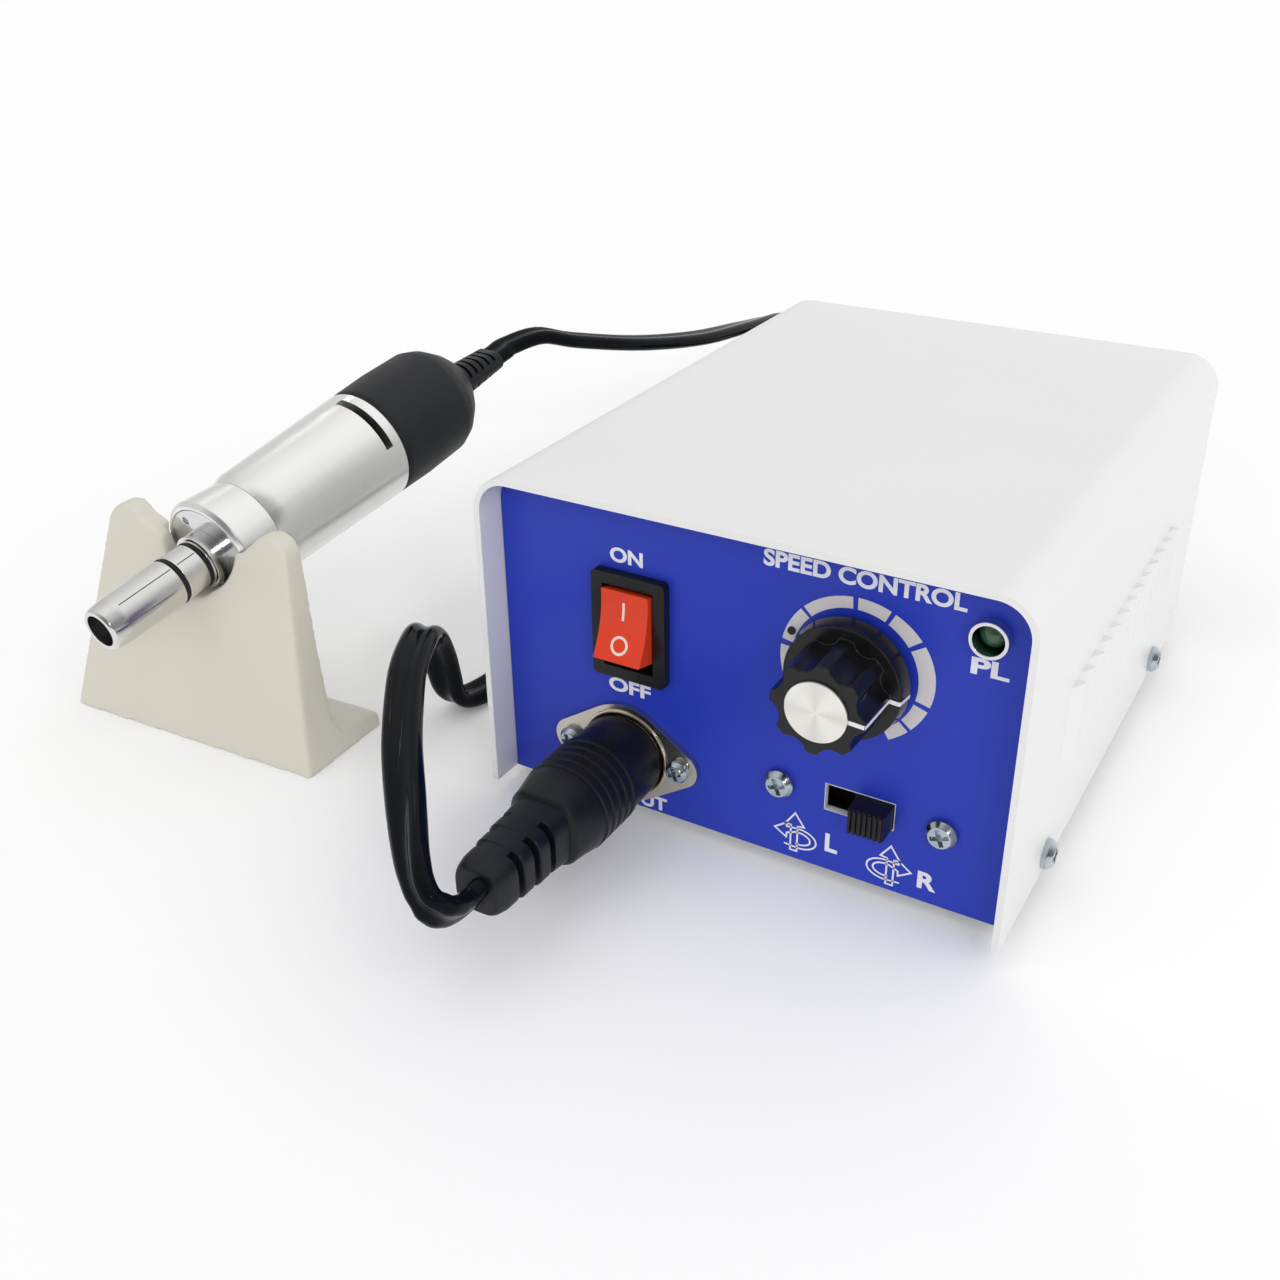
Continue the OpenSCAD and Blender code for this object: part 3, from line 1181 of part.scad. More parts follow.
// Cord
module cord_handpiece_run() {
    color([0.05, 0.05, 0.06]) swept(smooth(hand_route, 2), flat8(cord_w, cord_t));
}
module cord_plug_run() {
    color([0.05, 0.05, 0.06]) swept(smooth(plug_route, 2), flat8(cord_w, cord_t));
}
module cord_coil() {
    color([0.05, 0.05, 0.06]) swept(coil_points, flat6(cord_w, cord_t));
}
module cord_tie() {
    inner = coil_radius(90 + 360) - cord_t / 2 - tie_gap;
    wide = coil_radius(90) + cord_t / 2 + tie_gap - inner;
    tall = coil_layer + cord_w + 2 * tie_gap;
    color([0.1, 0.1, 0.1]) translate(spot([coil_at[0] + inner, coil_at[1], tie_t])) difference() {
        translate([-tie_t, -tie_w / 2, -tie_t]) cube([wide + 2 * tie_t, tie_w, tall + 2 * tie_t]);
        translate([0, -tie_w / 2 - cut, 0]) cube([wide, tie_w + 2 * cut, tall]);
    }
}

top_cover();
chassis();
front_overlay();
cover_screws();
rubber_feet();
power_switch_housing();
power_rocker();
switch_terminals();
socket_flange();
socket_insert();
socket_screws();
speed_pot();
pot_nut();
pot_shaft();
speed_knob();
knob_cap();
led_bezel();
pilot_led();
direction_switch();
direction_slider();
direction_screws();
circuit_board();
board_standoffs();
board_screws();
transformer_core();
transformer_coil();
transformer_screws();
filter_capacitor();
heat_sink();
mains_inlet();
inlet_pins();
inlet_screws();
fuse_holder();
fuse_cap();
foot_pedal_jack();
jack_nut();
handpiece_stand();
coupling_nose();
nose_o_rings();
front_plate();
front_plate_screws();
front_ring();
motor_barrel();
stator_magnets();
rotor_bearings();
brush_holder();
carbon_brushes();
rear_cap();
strain_relief();
rotor_shaft();
armature_core();
commutator();
plug_body();
plug_shell();
plug_pins();
cord_handpiece_run();
cord_coil();
cord_tie();
cord_plug_run();
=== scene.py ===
# %% [markdown]
# # A dental micromotor set
# A white control box, a metal handpiece lying on an ivory stand, and one flat black cord between them. The shapes
# come from a CAD part in millimetres. Here each piece gets the soft edges, prints and finishes of the real one.

# %% Load the CAD part as the fixed frame
import json
from math import cos, exp, pi, radians, sin

import bmesh
import bpy
from mathutils import Matrix, Vector

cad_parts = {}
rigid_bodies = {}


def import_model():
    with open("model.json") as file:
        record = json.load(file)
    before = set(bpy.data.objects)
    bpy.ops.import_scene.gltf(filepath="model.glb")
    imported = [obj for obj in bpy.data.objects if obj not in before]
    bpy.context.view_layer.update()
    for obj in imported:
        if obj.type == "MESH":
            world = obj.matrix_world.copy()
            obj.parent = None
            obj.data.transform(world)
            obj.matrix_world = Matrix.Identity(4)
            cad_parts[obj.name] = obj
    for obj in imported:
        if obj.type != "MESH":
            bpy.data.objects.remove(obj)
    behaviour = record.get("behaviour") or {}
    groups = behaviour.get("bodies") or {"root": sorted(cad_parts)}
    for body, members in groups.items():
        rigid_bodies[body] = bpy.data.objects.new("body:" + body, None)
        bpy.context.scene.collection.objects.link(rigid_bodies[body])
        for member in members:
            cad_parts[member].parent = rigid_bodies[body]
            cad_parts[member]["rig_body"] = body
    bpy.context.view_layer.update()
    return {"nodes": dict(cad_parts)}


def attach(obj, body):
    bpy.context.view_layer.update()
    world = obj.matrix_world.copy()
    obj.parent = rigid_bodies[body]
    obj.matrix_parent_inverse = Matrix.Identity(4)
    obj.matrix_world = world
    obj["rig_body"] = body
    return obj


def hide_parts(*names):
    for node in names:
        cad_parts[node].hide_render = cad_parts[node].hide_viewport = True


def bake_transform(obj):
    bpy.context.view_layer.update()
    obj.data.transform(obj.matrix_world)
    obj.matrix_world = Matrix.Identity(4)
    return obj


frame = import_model()
MM = 0.001

# %% [markdown]
# ## Places
# Everything is measured in millimetres from the cover's left front corner, down on the table. The CAD part has its
# origin in the middle of the set, so one small function moves a point across. The handpiece has a frame of its own,
# with its axis along Z, because round parts are easiest to turn about Z. The front panel has one too, with X and Y
# on the film and Z towards the viewer, so that prints can be drawn flat.

# %% Points on the table, along the handpiece and on the panel
PANEL_Y = 6.5


def spot(x, y, z):
    return Vector((x - 1.3584, y - 51.2835, z)) * MM


hand_place = (Matrix.Translation(spot(-66.761, -3.612, 37.9)) @ Matrix.Rotation(radians(-3.5), 4, "Z")
              @ Matrix.Rotation(radians(10.2), 4, "X") @ Matrix.Rotation(radians(-90), 4, "X"))


def along_hand(t):
    return hand_place @ Vector((0, 0, t * MM))


def facing_front(x, y, z, lean=0):
    return (Matrix.Translation(spot(x, y, z)) @ Matrix.Rotation(radians(90 + lean), 4, "X")
            @ Matrix.Scale(MM, 4))


print("handpiece face", [round(c, 4) for c in along_hand(0)], "tail", [round(c, 4) for c in along_hand(93.8)])

# %% [markdown]
# ## Camera
# The photograph looks down at the box from its right front corner with a normal lens. The picture is cut off centre,
# so the lens is shifted a little instead of turning the camera.

# %% Camera at the photograph's place
view = bpy.data.cameras.new("view")
view.lens, view.sensor_width = 39.51, 36
view.shift_x, view.shift_y = 0.0063, -0.0204
view.clip_start, view.clip_end = 0.01, 50
camera = bpy.data.objects.new("camera", view)
right, up = Vector((0.8580, 0.5135, -0.0153)), Vector((-0.2300, 0.4106, 0.8823))
turn = Matrix((right, up, right.cross(up))).transposed().to_4x4()
camera.matrix_world = Matrix.Translation(spot(143.69, -182.0, 162.0)) @ turn
bpy.context.scene.collection.objects.link(camera)
bpy.context.scene.camera = camera
print("camera", tuple(round(c, 3) for c in camera.location))

# %% [markdown]
# ## Making a piece
# A piece is drawn in a bmesh and then handed over here. Edges that turn sharply stay crisp and all others are shaded
# round, and a weighted normal modifier keeps large flat faces flat between small rounded edges. The object stays at
# the origin, as the CAD nodes do, and rides on a body of the CAD part.


# %% From a bmesh to a riding piece
def piece(name, bm, finish, body, nodes=(), crisp=40):
    for face in bm.faces:
        face.smooth = True
    for edge in bm.edges:
        edge.smooth = len(edge.link_faces) == 2 and edge.calc_face_angle(0) < radians(crisp)
    mesh = bpy.data.meshes.new(name)
    bm.to_mesh(mesh)
    bm.free()
    made = bpy.data.objects.new(name, mesh)
    bpy.context.scene.collection.objects.link(made)
    mesh.materials.append(finish)
    facing = made.modifiers.new("facing", "WEIGHTED_NORMAL")
    facing.keep_sharp = True
    if body:
        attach(made, body)
    if nodes:
        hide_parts(*nodes)
    print(f"{name}: {len(mesh.polygons)} faces, {[round(d / MM, 1) for d in made.dimensions]} mm")
    return made


# %% [markdown]
# ## Lofting
# A loft strings a section along a row of places: the first ring is drawn, then extruded and moved again and again.
# With closed rings it makes tubes such as the cord and the plug. With rings of only two points it makes flat ribbons,
# which serve as printed lines.


# %% Rings joined into a tube or a ribbon
def loft(bm, rings):
    closed = len(rings[0]) > 2
    ring = [bm.verts.new(p) for p in rings[0]]
    pairs = [(i - 1, i) for i in range(0 if closed else 1, len(ring))]
    loop = [bm.edges.new((ring[a], ring[b])) for a, b in pairs]
    if closed:
        bmesh.ops.contextual_create(bm, geom=loop)
    for points in rings[1:]:
        loop = [bm.edges.get((ring[a], ring[b])) for a, b in pairs]
        grown = set(bmesh.ops.extrude_edge_only(bm, edges=loop)["geom"])
        ring = [next(e.other_vert(v) for e in v.link_edges if e.other_vert(v) in grown) for v in ring]
        for vert, point in zip(ring, points):
            vert.co = point
    if closed:
        bmesh.ops.contextual_create(bm, geom=[bm.edges.get((ring[a], ring[b])) for a, b in pairs])


def ribbon(points, width, closed=False):
    points = [Vector((*p, 0)) for p in points]
    rings = []
    for i, here in enumerate(points):
        before = points[i - 1] if closed or i else here * 2 - points[1]
        after = points[(i + 1) % len(points)] if closed or i + 1 < len(points) else here * 2 - points[-2]
        ahead = (here - before).normalized()
        along = (ahead + (after - here).normalized()).normalized()
        across = Vector((-along.y, along.x, 0)) * width / 2 / max(0.45, along.dot(ahead))
        rings.append((here - across, here + across))
    return rings + rings[:1] if closed else rings


print("loft and ribbon are ready")

# %% [markdown]
# ## Finishes
# Every finish starts from the same recipe: a slow cloud of noise shifts the colour and the gloss a little, as
# handling and moulding do, and a fine grain lifts the surface. The colour, metal and coat values that don't change
# over the surface sit on the shader's own sockets. The denoiser takes a surface for a mirror where its roughness is
# below about 0.274, and a patch shows where a finish crosses that value, so each one stays on one side of it.


# %% The recipe for a finish
def finish(name, colour, gloss, metal=0.0, coat=0.0, cloud=25, shift=0.05, grain=2500, lift=0.02, swing=0.06,
           stretch=(1, 1, 1), turn=(0, 0, 0), centre=(0, 0, 0), specular=0.5):
    made = bpy.data.materials.new(name)
    made.use_nodes = True
    nodes, links = made.node_tree.nodes, made.node_tree.links
    shader = nodes["Principled BSDF"]
    shader.inputs["Metallic"].default_value = metal
    shader.inputs["Coat Weight"].default_value = coat
    shader.inputs["Coat Roughness"].default_value = 0.12
    shader.inputs["Specular IOR Level"].default_value = specular
    where = nodes.new("ShaderNodeTexCoord")
    lay = nodes.new("ShaderNodeMapping")
    lay.vector_type = "TEXTURE"
    lay.inputs["Location"].default_value = centre
    lay.inputs["Rotation"].default_value = turn
    stretched = nodes.new("ShaderNodeMapping")
    stretched.inputs["Scale"].default_value = stretch
    links.new(where.outputs["Object"], lay.inputs["Vector"])
    links.new(lay.outputs["Vector"], stretched.inputs["Vector"])
    slow = nodes.new("ShaderNodeTexNoise")
    slow.inputs["Scale"].default_value = cloud
    slow.inputs["Detail"].default_value = 4
    links.new(lay.outputs["Vector"], slow.inputs["Vector"])
    tint = nodes.new("ShaderNodeValToRGB")
    tint.color_ramp.elements[0].position, tint.color_ramp.elements[1].position = 0.3, 0.7
    tint.color_ramp.elements[0].color = [c * (1 - shift) for c in colour] + [1]
    tint.color_ramp.elements[1].color = [min(1, c * (1 + shift)) for c in colour] + [1]
    links.new(slow.outputs["Fac"], tint.inputs["Fac"])
    links.new(tint.outputs["Color"], shader.inputs["Base Color"])
    fine = nodes.new("ShaderNodeTexNoise")
    fine.inputs["Scale"].default_value = grain
    fine.inputs["Detail"].default_value = 3
    links.new(stretched.outputs["Vector"], fine.inputs["Vector"])
    wear = nodes.new("ShaderNodeMapRange")
    wear.inputs["From Min"].default_value, wear.inputs["From Max"].default_value = 0.3, 0.7
    wear.inputs["To Min"].default_value = max(0.02, gloss - swing)
    wear.inputs["To Max"].default_value = gloss + swing
    links.new((fine if stretch != (1, 1, 1) else slow).outputs["Fac"], wear.inputs["Value"])
    links.new(wear.outputs["Result"], shader.inputs["Roughness"])
    bump = nodes.new("ShaderNodeBump")
    bump.inputs["Strength"].default_value = 1.0
    bump.inputs["Distance"].default_value = lift * MM
    links.new(fine.outputs["Fac"], bump.inputs["Height"])
    links.new(bump.outputs["Normal"], shader.inputs["Normal"])
    return made


cord_jacket = finish("cord_jacket", (0.004, 0.005, 0.007), 0.11, cloud=60, shift=0.25, grain=700, lift=0.004,
                     swing=0.02, specular=0.06)
plug_pvc = finish("plug_pvc", (0.006, 0.007, 0.009), 0.4, cloud=150, shift=0.25, grain=1800, lift=0.016,
                  specular=0.28)
print("finishes made:", cord_jacket.name, plug_pvc.name)

# %% [markdown]
# ## The cord
# One flat twin cord, 7.4 by 3.5 mm, runs from the handpiece to a tied coil behind the box and on to the plug. A curve
# with a bevel could make it, but its roll is hard to steer, so a ring with the cord's section is extruded from place
# to place along the route. The handpiece's stretch and the plug's stretch are two pieces that meet at the coil's end.


# %% Routes of the cord, each point with the roll of its flat side
def tail(d):
    p = along_hand(93.8 + d) / MM
    return (p.x + 1.3584, p.y + 51.2835, p.z, 0)


CORD_W, CORD_T = 7.4, 3.5
COIL_X, COIL_Y, COIL_R, COIL_TURNS, COIL_PITCH, COIL_LAYER = 6, 222, 44, 3.5, 4.4, 8.2
COIL_Z = 4.9
coil_in = (COIL_X - 7.4, COIL_Y + COIL_R, COIL_Z + COIL_LAYER, 90)
coil_out = (COIL_X - 7.4, COIL_Y - COIL_R, COIL_Z, 90)


def shifted(p, dx, dy=0, roll=0):
    return (p[0] + dx, p[1] + dy, p[2], p[3] + roll)


hand_route = [
    tail(0.05), tail(3.7), tail(7.4), (-57.5, 105, 56.5, 0), (-53.5, 115.5, 53, 0), (-47.5, 138, 47, 0),
    (-44, 165.5, 41.5, 0), (-44, 195, 37, 10), (-46, 222, 32, 25), (-43, 241, 25, 45), (-34, 256, 18, 65),
    (-20, 264.5, 14, 80), shifted(coil_in, -8), shifted(coil_in, -4), coil_in]
plug_tail = (27.4, -41.7, 15, 125)
plug_route = [
    plug_tail, shifted(plug_tail, 0, -1.5, roll=1), shifted(plug_tail, 0, -3, roll=3), (27.6, -46.9, 15.6, 132),
    (28, -49.3, 16.9, 138), (28, -51.4, 18.7, 132), (27, -52.6, 20.6, 104), (25.2, -52.2, 22.3, 76),
    (22.8, -50.3, 23.4, 62), (19.2, -46.8, 24.2, 48), (11, -37.8, 25.4, 24), (0.8, -26, 26.4, 6),
    (-8.9, -13.2, 27.2, -4), (-14, -5.6, 27.6, -8), (-18.4, 2.5, 27.4, -8), (-21.6, 8.6, 26, -6),
    (-23.2, 12.6, 22.4, 0), (-24, 15.2, 17, 8), (-24.4, 16.8, 11.6, 10), (-24.5, 18.2, 6.6, 6),
    (-24.2, 20.6, 3.6, 2), (-23.6, 24.4, 2.2, 0), (-22.8, 30, 1.8, 0), (-22, 40, 1.8, 0), (-21.4, 55, 1.8, 0),
    (-21, 75, 1.8, 0), (-21, 98, 1.8, 0), (-22, 120, 1.8, 0), (-23, 138, 2, 3), (-23, 150, 2.9, 14),
    (-21.8, 160, 3.9, 34), (-18.6, 169, 4.6, 58), (-14, 175, COIL_Z, 80), shifted(coil_out, -8),
    shifted(coil_out, -4), coil_out]


def smooth(points, steps):
    last, out = len(points) - 1, []
    for i in range(last):
        a, b, c, d = (points[max(i - 1, 0)], points[i], points[i + 1], points[min(i + 2, last)])
        for k in range(steps):
            s = k / steps
            out.append(tuple(0.5 * (2 * q + (r - p) * s + (2 * p - 5 * q + 4 * r - t) * s * s
                                    + (3 * q - p - 3 * r + t) * s ** 3) for p, q, r, t in zip(a, b, c, d)))
    return out + [points[-1]]


def coil_point(degrees):
    turns = degrees / 360
    r = COIL_R - COIL_PITCH * (COIL_TURNS / 2 - abs(turns - COIL_TURNS / 2))
    z = COIL_Z + COIL_LAYER * min(1, max(0, 0.5 - (turns - COIL_TURNS / 2) * 2))
    return (COIL_X + r * sin(radians(degrees)), COIL_Y + r * cos(radians(degrees)), z, 90)


coil_line = [coil_point(i * 7.5) for i in range(int(COIL_TURNS * 48) + 1)]
hand_line = smooth(hand_route, 5) + coil_line + [coil_out]
plug_line = smooth(plug_route, 5)
print("route points:", len(hand_line), len(plug_line))


# %% The cord's section strung along a route
def cord_frame(line, i):
    here, before, after = (spot(*line[k][:3]) for k in (i, max(i - 1, 0), min(i + 1, len(line) - 1)))
    forward = (after - before).normalized()
    side = forward.cross(Vector((0, 0, 1))).normalized()
    over = side.cross(forward)
    roll = radians(line[i][3])
    wide, thin = side * cos(roll) + over * sin(roll), over * cos(roll) - side * sin(roll)
    return Matrix.Translation(here) @ Matrix((wide, thin, forward)).transposed().to_4x4()


def twin_section():
    lobe, half = CORD_T / 2, CORD_W / 2 - CORD_T / 2
    right_side = [(half + lobe * cos(radians(a)), lobe * sin(radians(a))) for a in range(-126, 127, 21)]
    left_side = [(-x, -y) for x, y in right_side]
    outline = right_side + [(0, lobe * 0.68)] + left_side + [(0, -lobe * 0.68)]
    return [Vector((x, y, 0)) * MM for x, y in outline]


def lay_cord(name, line):
    bm = bmesh.new()
    section = twin_section()
    loft(bm, [[cord_frame(line, i) @ p for p in section] for i in range(len(line))])
    bmesh.ops.recalc_face_normals(bm, faces=bm.faces)
    return piece(name, bm, cord_jacket, None, crisp=60)


handpiece_cord = lay_cord("handpiece_cord", hand_line)
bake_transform(handpiece_cord)
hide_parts("cord_handpiece_run", "cord_coil")
plug_cord = lay_cord("plug_cord", plug_line)
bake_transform(plug_cord)
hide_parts("cord_plug_run")

# %% [markdown]
# ## Plug on the cord's end
# The plug is moulded on: a round sleeve with ring ribs for the fingers, a shoulder, and a nearly square strain relief
# with slots on both sides that let it bend. A turned profile can't be square or slotted on two sides only, so it is
# lofted: each station says how far back it lies, its radius, how square it is and how deep its side slots are.


# %% Stations of the plug
def plug_ring(back, radius, square=0.0, slot=0.0):
    power = 2 + 2 * square
    points = []
    for i in range(64):
        a = 2 * pi * i / 64
        reach = radius / (abs(cos(a)) ** power + abs(sin(a)) ** power) ** (1 / power)
        if abs(cos(a)) > 0.5:
            reach -= slot
        points.append(spot(27.4 + reach * cos(a), 4.65 - back, 15 + reach * sin(a)))
    return points


sleeve = [(0, 7.7), (0.2, 8.15), (0.6, 8.4), (9.0, 8.5)]
ribs = [(9.3 + 2.2 * i + back, r) for i in range(5) for back, r in ((0, 8.55), (0.25, 8.95), (1.3, 8.95), (1.6, 8.55))]
shoulder = [(20.4, 8.75), (22.6, 8.3), (24.4, 7.6, 0.2), (26.2, 7.1, 0.4), (26.7, 6.6, 0.6), (27.0, 5.9, 0.8),
            (30.7, 5.6, 0.8)]
slots = [(31.0 + 4.2 * i + back, 5.55 - 0.3 * i - 0.02 * back, 0.8, deep) for i in range(3)
         for back, deep in ((0, 0), (0.15, 1.5), (1.35, 1.5), (1.5, 0), (3.9, 0))]
end = [(45.4, 4.45, 0.8), (46.0, 4.2, 0.7), (46.3, 3.7, 0.6)]
bm = bmesh.new()
loft(bm, [plug_ring(*station) for station in sleeve + ribs + shoulder + slots + end])
bmesh.ops.recalc_face_normals(bm, faces=bm.faces)
plug = piece("plug", bm, plug_pvc, "plug", ["plug_body"], crisp=34)

# %% [markdown]
# ## Light and floor
# The object stands on a pale floor in a bright room. The room is white above and dims towards both sides and behind
# the camera, so that black plastic stays black and round metal has something to show. Three wide soft suns light the
# top, the right side and the front alike. They reach every part of the floor, which keeps it evenly white, and they
# are kept out of reflections, which show the room alone. Two small suns draw the thin glints on cord and knob. The
# floor keeps the shadow.


# %% World, suns and floor
def seen_directly(nodes, links):
    ray = nodes.new("ShaderNodeLightPath")
    most, either = nodes.new("ShaderNodeMath"), nodes.new("ShaderNodeMath")
    most.operation = either.operation = "MAXIMUM"
    links.new(ray.outputs["Is Camera Ray"], most.inputs[0])
    links.new(ray.outputs["Is Glossy Ray"], most.inputs[1])
    links.new(most.outputs["Value"], either.inputs[0])
    links.new(ray.outputs["Is Transmission Ray"], either.inputs[1])
    return either.outputs["Value"]


room = bpy.data.worlds.new("room")
bpy.context.scene.world = room
room.use_nodes = True
nodes, links = room.node_tree.nodes, room.node_tree.links
sky = nodes["Background"]
way, behind, fade = (nodes.new("ShaderNode" + kind) for kind in ("TexCoord", "VectorMath", "ValToRGB"))
behind.operation = "DOT_PRODUCT"
behind.inputs[1].default_value = (0.50, -0.82, 0.28)
fade.color_ramp.elements[0].position, fade.color_ramp.elements[0].color = 0.30, (1, 1, 1, 1)
fade.color_ramp.elements[1].position, fade.color_ramp.elements[1].color = 0.85, (0.2, 0.2, 0.21, 1)
axes, walls, both = (nodes.new("ShaderNode" + kind) for kind in ("SeparateXYZ", "ValToRGB", "Mix"))
walls.color_ramp.elements[0].color = (0.62, 0.62, 0.62, 1)
walls.color_ramp.elements[1].color = (0.40, 0.40, 0.40, 1)
for place, shade in ((0.1, 0.68), (0.26, 0.82), (0.39, 0.94), (0.53, 1.0), (0.68, 0.99), (0.8, 0.96), (0.89, 0.74),
                     (0.94, 0.5)):
    walls.color_ramp.elements.new(place).color = (shade, shade, shade, 1)
spread = nodes.new("ShaderNodeMapRange")
spread.inputs["From Min"].default_value, spread.inputs["From Max"].default_value = -1, 1
both.data_type, both.blend_type = "RGBA", "MULTIPLY"
both.inputs["Factor"].default_value = 1
links.new(way.outputs["Generated"], behind.inputs[0])
links.new(way.outputs["Generated"], axes.inputs[0])
links.new(behind.outputs["Value"], fade.inputs["Fac"])
links.new(axes.outputs["X"], spread.inputs["Value"])
links.new(spread.outputs["Result"], walls.inputs["Fac"])
links.new(fade.outputs["Color"], both.inputs[6])
links.new(walls.outputs["Color"], both.inputs[7])
links.new(both.outputs[2], sky.inputs["Color"])
level = nodes.new("ShaderNodeMapRange")
links.new(seen_directly(nodes, links), level.inputs["Value"])
level.inputs["To Min"].default_value, level.inputs["To Max"].default_value = 0.85, 1.0
links.new(level.outputs["Result"], sky.inputs["Strength"])
bpy.context.scene.view_settings.view_transform = "Standard"


def sun(name, comes_from, spread, power, mirrored):
    light = bpy.data.lights.new(name, "SUN")
    light.angle, light.energy = radians(spread), power
    made = bpy.data.objects.new(name, light)
    made.visible_glossy = mirrored
    made.matrix_world = Vector(comes_from).to_track_quat("Z", "Y").to_matrix().to_4x4()
    bpy.context.scene.collection.objects.link(made)


sun("top", (-0.45, -0.42, 1.0), 50, 0.35, False)
sun("right", (0.90, -0.35, 0.65), 70, 1.05, False)
sun("front", (0.20, -0.95, 0.30), 60, 0.75, False)
sun("cord_glint", (-0.62, 0.49, 0.61), 1, 0.012, True)
sun("knob_glint", (0.65, -0.57, 0.45), 8, 0.3, True)

bm = bmesh.new()
bmesh.ops.create_grid(bm, x_segments=2, y_segments=2, size=6)
mesh = bpy.data.meshes.new("floor")
bm.to_mesh(mesh)
bm.free()
floor = bpy.data.objects.new("floor", mesh)
bpy.context.scene.collection.objects.link(floor)
table_top = bpy.data.materials.new("table_top")
table_top.use_nodes = True
nodes, links = table_top.node_tree.nodes, table_top.node_tree.links
shader = nodes["Principled BSDF"]
shader.inputs["Roughness"].default_value = 0.8
shader.inputs["Specular IOR Level"].default_value = 0.1
shader.inputs["Base Color"].default_value = (0.93, 0.93, 0.93, 1)
shader.inputs["Emission Color"].default_value = (1, 1, 1, 1)
share = nodes.new("ShaderNodeMath")
share.operation = "MULTIPLY"
share.inputs[1].default_value = 0.08
links.new(seen_directly(nodes, links), share.inputs[0])
links.new(share.outputs["Value"], shader.inputs["Emission Strength"])
mesh.materials.append(table_top)
print("light and floor made")

# %% [markdown]
# ## Skins over CAD pieces
# Pressed and moulded parts have no knife edges. Where the CAD shape is already right, a copy of it is welded, its flat
# faces are joined again, and its sharp edges are bevelled by the radius that the real process leaves. Remodelling them
# would only risk moving them. A piece that no one sees, deep inside, keeps its CAD mesh and only gets its finish.


# %% A welded copy with rounded edges
def welded(node):
    bm = bmesh.new()
    bm.from_mesh(frame["nodes"][node].data)
    bmesh.ops.remove_doubles(bm, verts=bm.verts, dist=0.004 * MM)
    bmesh.ops.dissolve_limit(bm, angle_limit=radians(0.5), verts=bm.verts, edges=bm.edges)
    return bm


def skin(node, edge, coat, segments=2, sharp=28, crisp=40, bm=None):
    bm = bm or welded(node)
    hard = [e for e in bm.edges if len(e.link_faces) == 2 and e.calc_face_angle(0) > radians(sharp)]
    bmesh.ops.bevel(bm, geom=hard, offset=edge * MM, offset_type="OFFSET", affect="EDGES", segments=segments,
                    profile=0.5, material=-1, clamp_overlap=True)
    return piece(node + "_skin", bm, coat, frame["nodes"][node]["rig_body"], [node], crisp)


def paint(coat, *nodes):
    for node in nodes:
        frame["nodes"][node].data.materials.clear()
        frame["nodes"][node].data.materials.append(coat)
    print(coat.name, "on", ", ".join(nodes))


# %% [markdown]
# ## Control box
# The cover is folded from sheet steel and powder coated, which leaves a fine orange peel and a soft gloss. The chassis
# inside it is bare plated sheet, and its front carries a printed film.

# %% Cover, chassis, feet and film
powder_white = finish("powder_white", (0.80, 0.80, 0.795), 0.33, coat=0.15, cloud=14, shift=0.015, grain=1500,
                      lift=0.006, swing=0.05)
plated_sheet = finish("plated_sheet", (0.60, 0.61, 0.62), 0.34, metal=1.0, cloud=60, shift=0.1, grain=900,
                      lift=0.006)
foot_rubber = finish("foot_rubber", (0.02, 0.02, 0.02), 0.7, cloud=150, shift=0.3, grain=3000, lift=0.03)
film_blue = finish("film_blue", (0.018, 0.043, 0.46), 0.36, cloud=18, shift=0.04, grain=3500, lift=0.006,
                   specular=0.3)
cover = skin("top_cover", 0.3, powder_white)
chassis = skin("chassis", 0.15, plated_sheet)
feet = skin("rubber_feet", 0.4, foot_rubber, segments=3)
film = skin("front_overlay", 0.06, film_blue, segments=1)

# %% [markdown]
# ## Prints
# The film is screen printed in a pale ink: short labels, a dial that widens clockwise and two symbols for the turning
# direction. Letters come from the built-in font, fattened a little, and each word is stretched into the rectangle that
# it fills on the panel. Dial and symbols are ribbons. All of it lies flat on the film as thin pieces, and could as well
# be an image, but then it would blur from close by.

# %% Words fitted into rectangles of the panel
ink = finish("ink", (0.80, 0.80, 0.88), 0.5, cloud=300, shift=0.05, grain=6000, lift=0.004)
dial_ink = finish("dial_ink", (0.64, 0.62, 0.63), 0.5, cloud=200, shift=0.06, grain=6000, lift=0.004)
on_panel = facing_front(0, PANEL_Y - 0.04, 0)


def write(bm, text, left, low, wide, tall):
    line = bpy.data.curves.new(text, "FONT")
    line.body, line.offset = text, 0.036
    holder = bpy.data.objects.new(text, line)
    bpy.context.scene.collection.objects.link(holder)
    letters = holder.evaluated_get(bpy.context.evaluated_depsgraph_get()).to_mesh()
    fresh = len(bm.verts)
    bm.from_mesh(letters)
    bm.verts.ensure_lookup_table()
    verts = bm.verts[fresh:]
    xs, ys = [v.co.x for v in verts], [v.co.y for v in verts]
    for v in verts:
        v.co.x = left + (v.co.x - min(xs)) / (max(xs) - min(xs)) * wide
        v.co.y = low + (v.co.y - min(ys)) / (max(ys) - min(ys)) * tall
    bpy.data.objects.remove(holder)
    bpy.data.curves.remove(line)


labels = {"ON": (24.5, 53.9, 6.7, 2.9), "OFF": (23.6, 27.3, 8.9, 2.9), "SPEED CONTROL": (54.3, 60.2, 34.6, 3.1),
          "OUTPUT": (18.5, 3.5, 17.3, 3.0), "PL": (90.4, 50.0, 6.2, 3.0), "L": (68.0, 6.9, 2.4, 3.9),
          "R": (85.3, 5.7, 3.4, 3.6)}
words = bmesh.new()
for text, place in labels.items():
    write(words, text, *place)
print("words written:", ", ".join(labels))


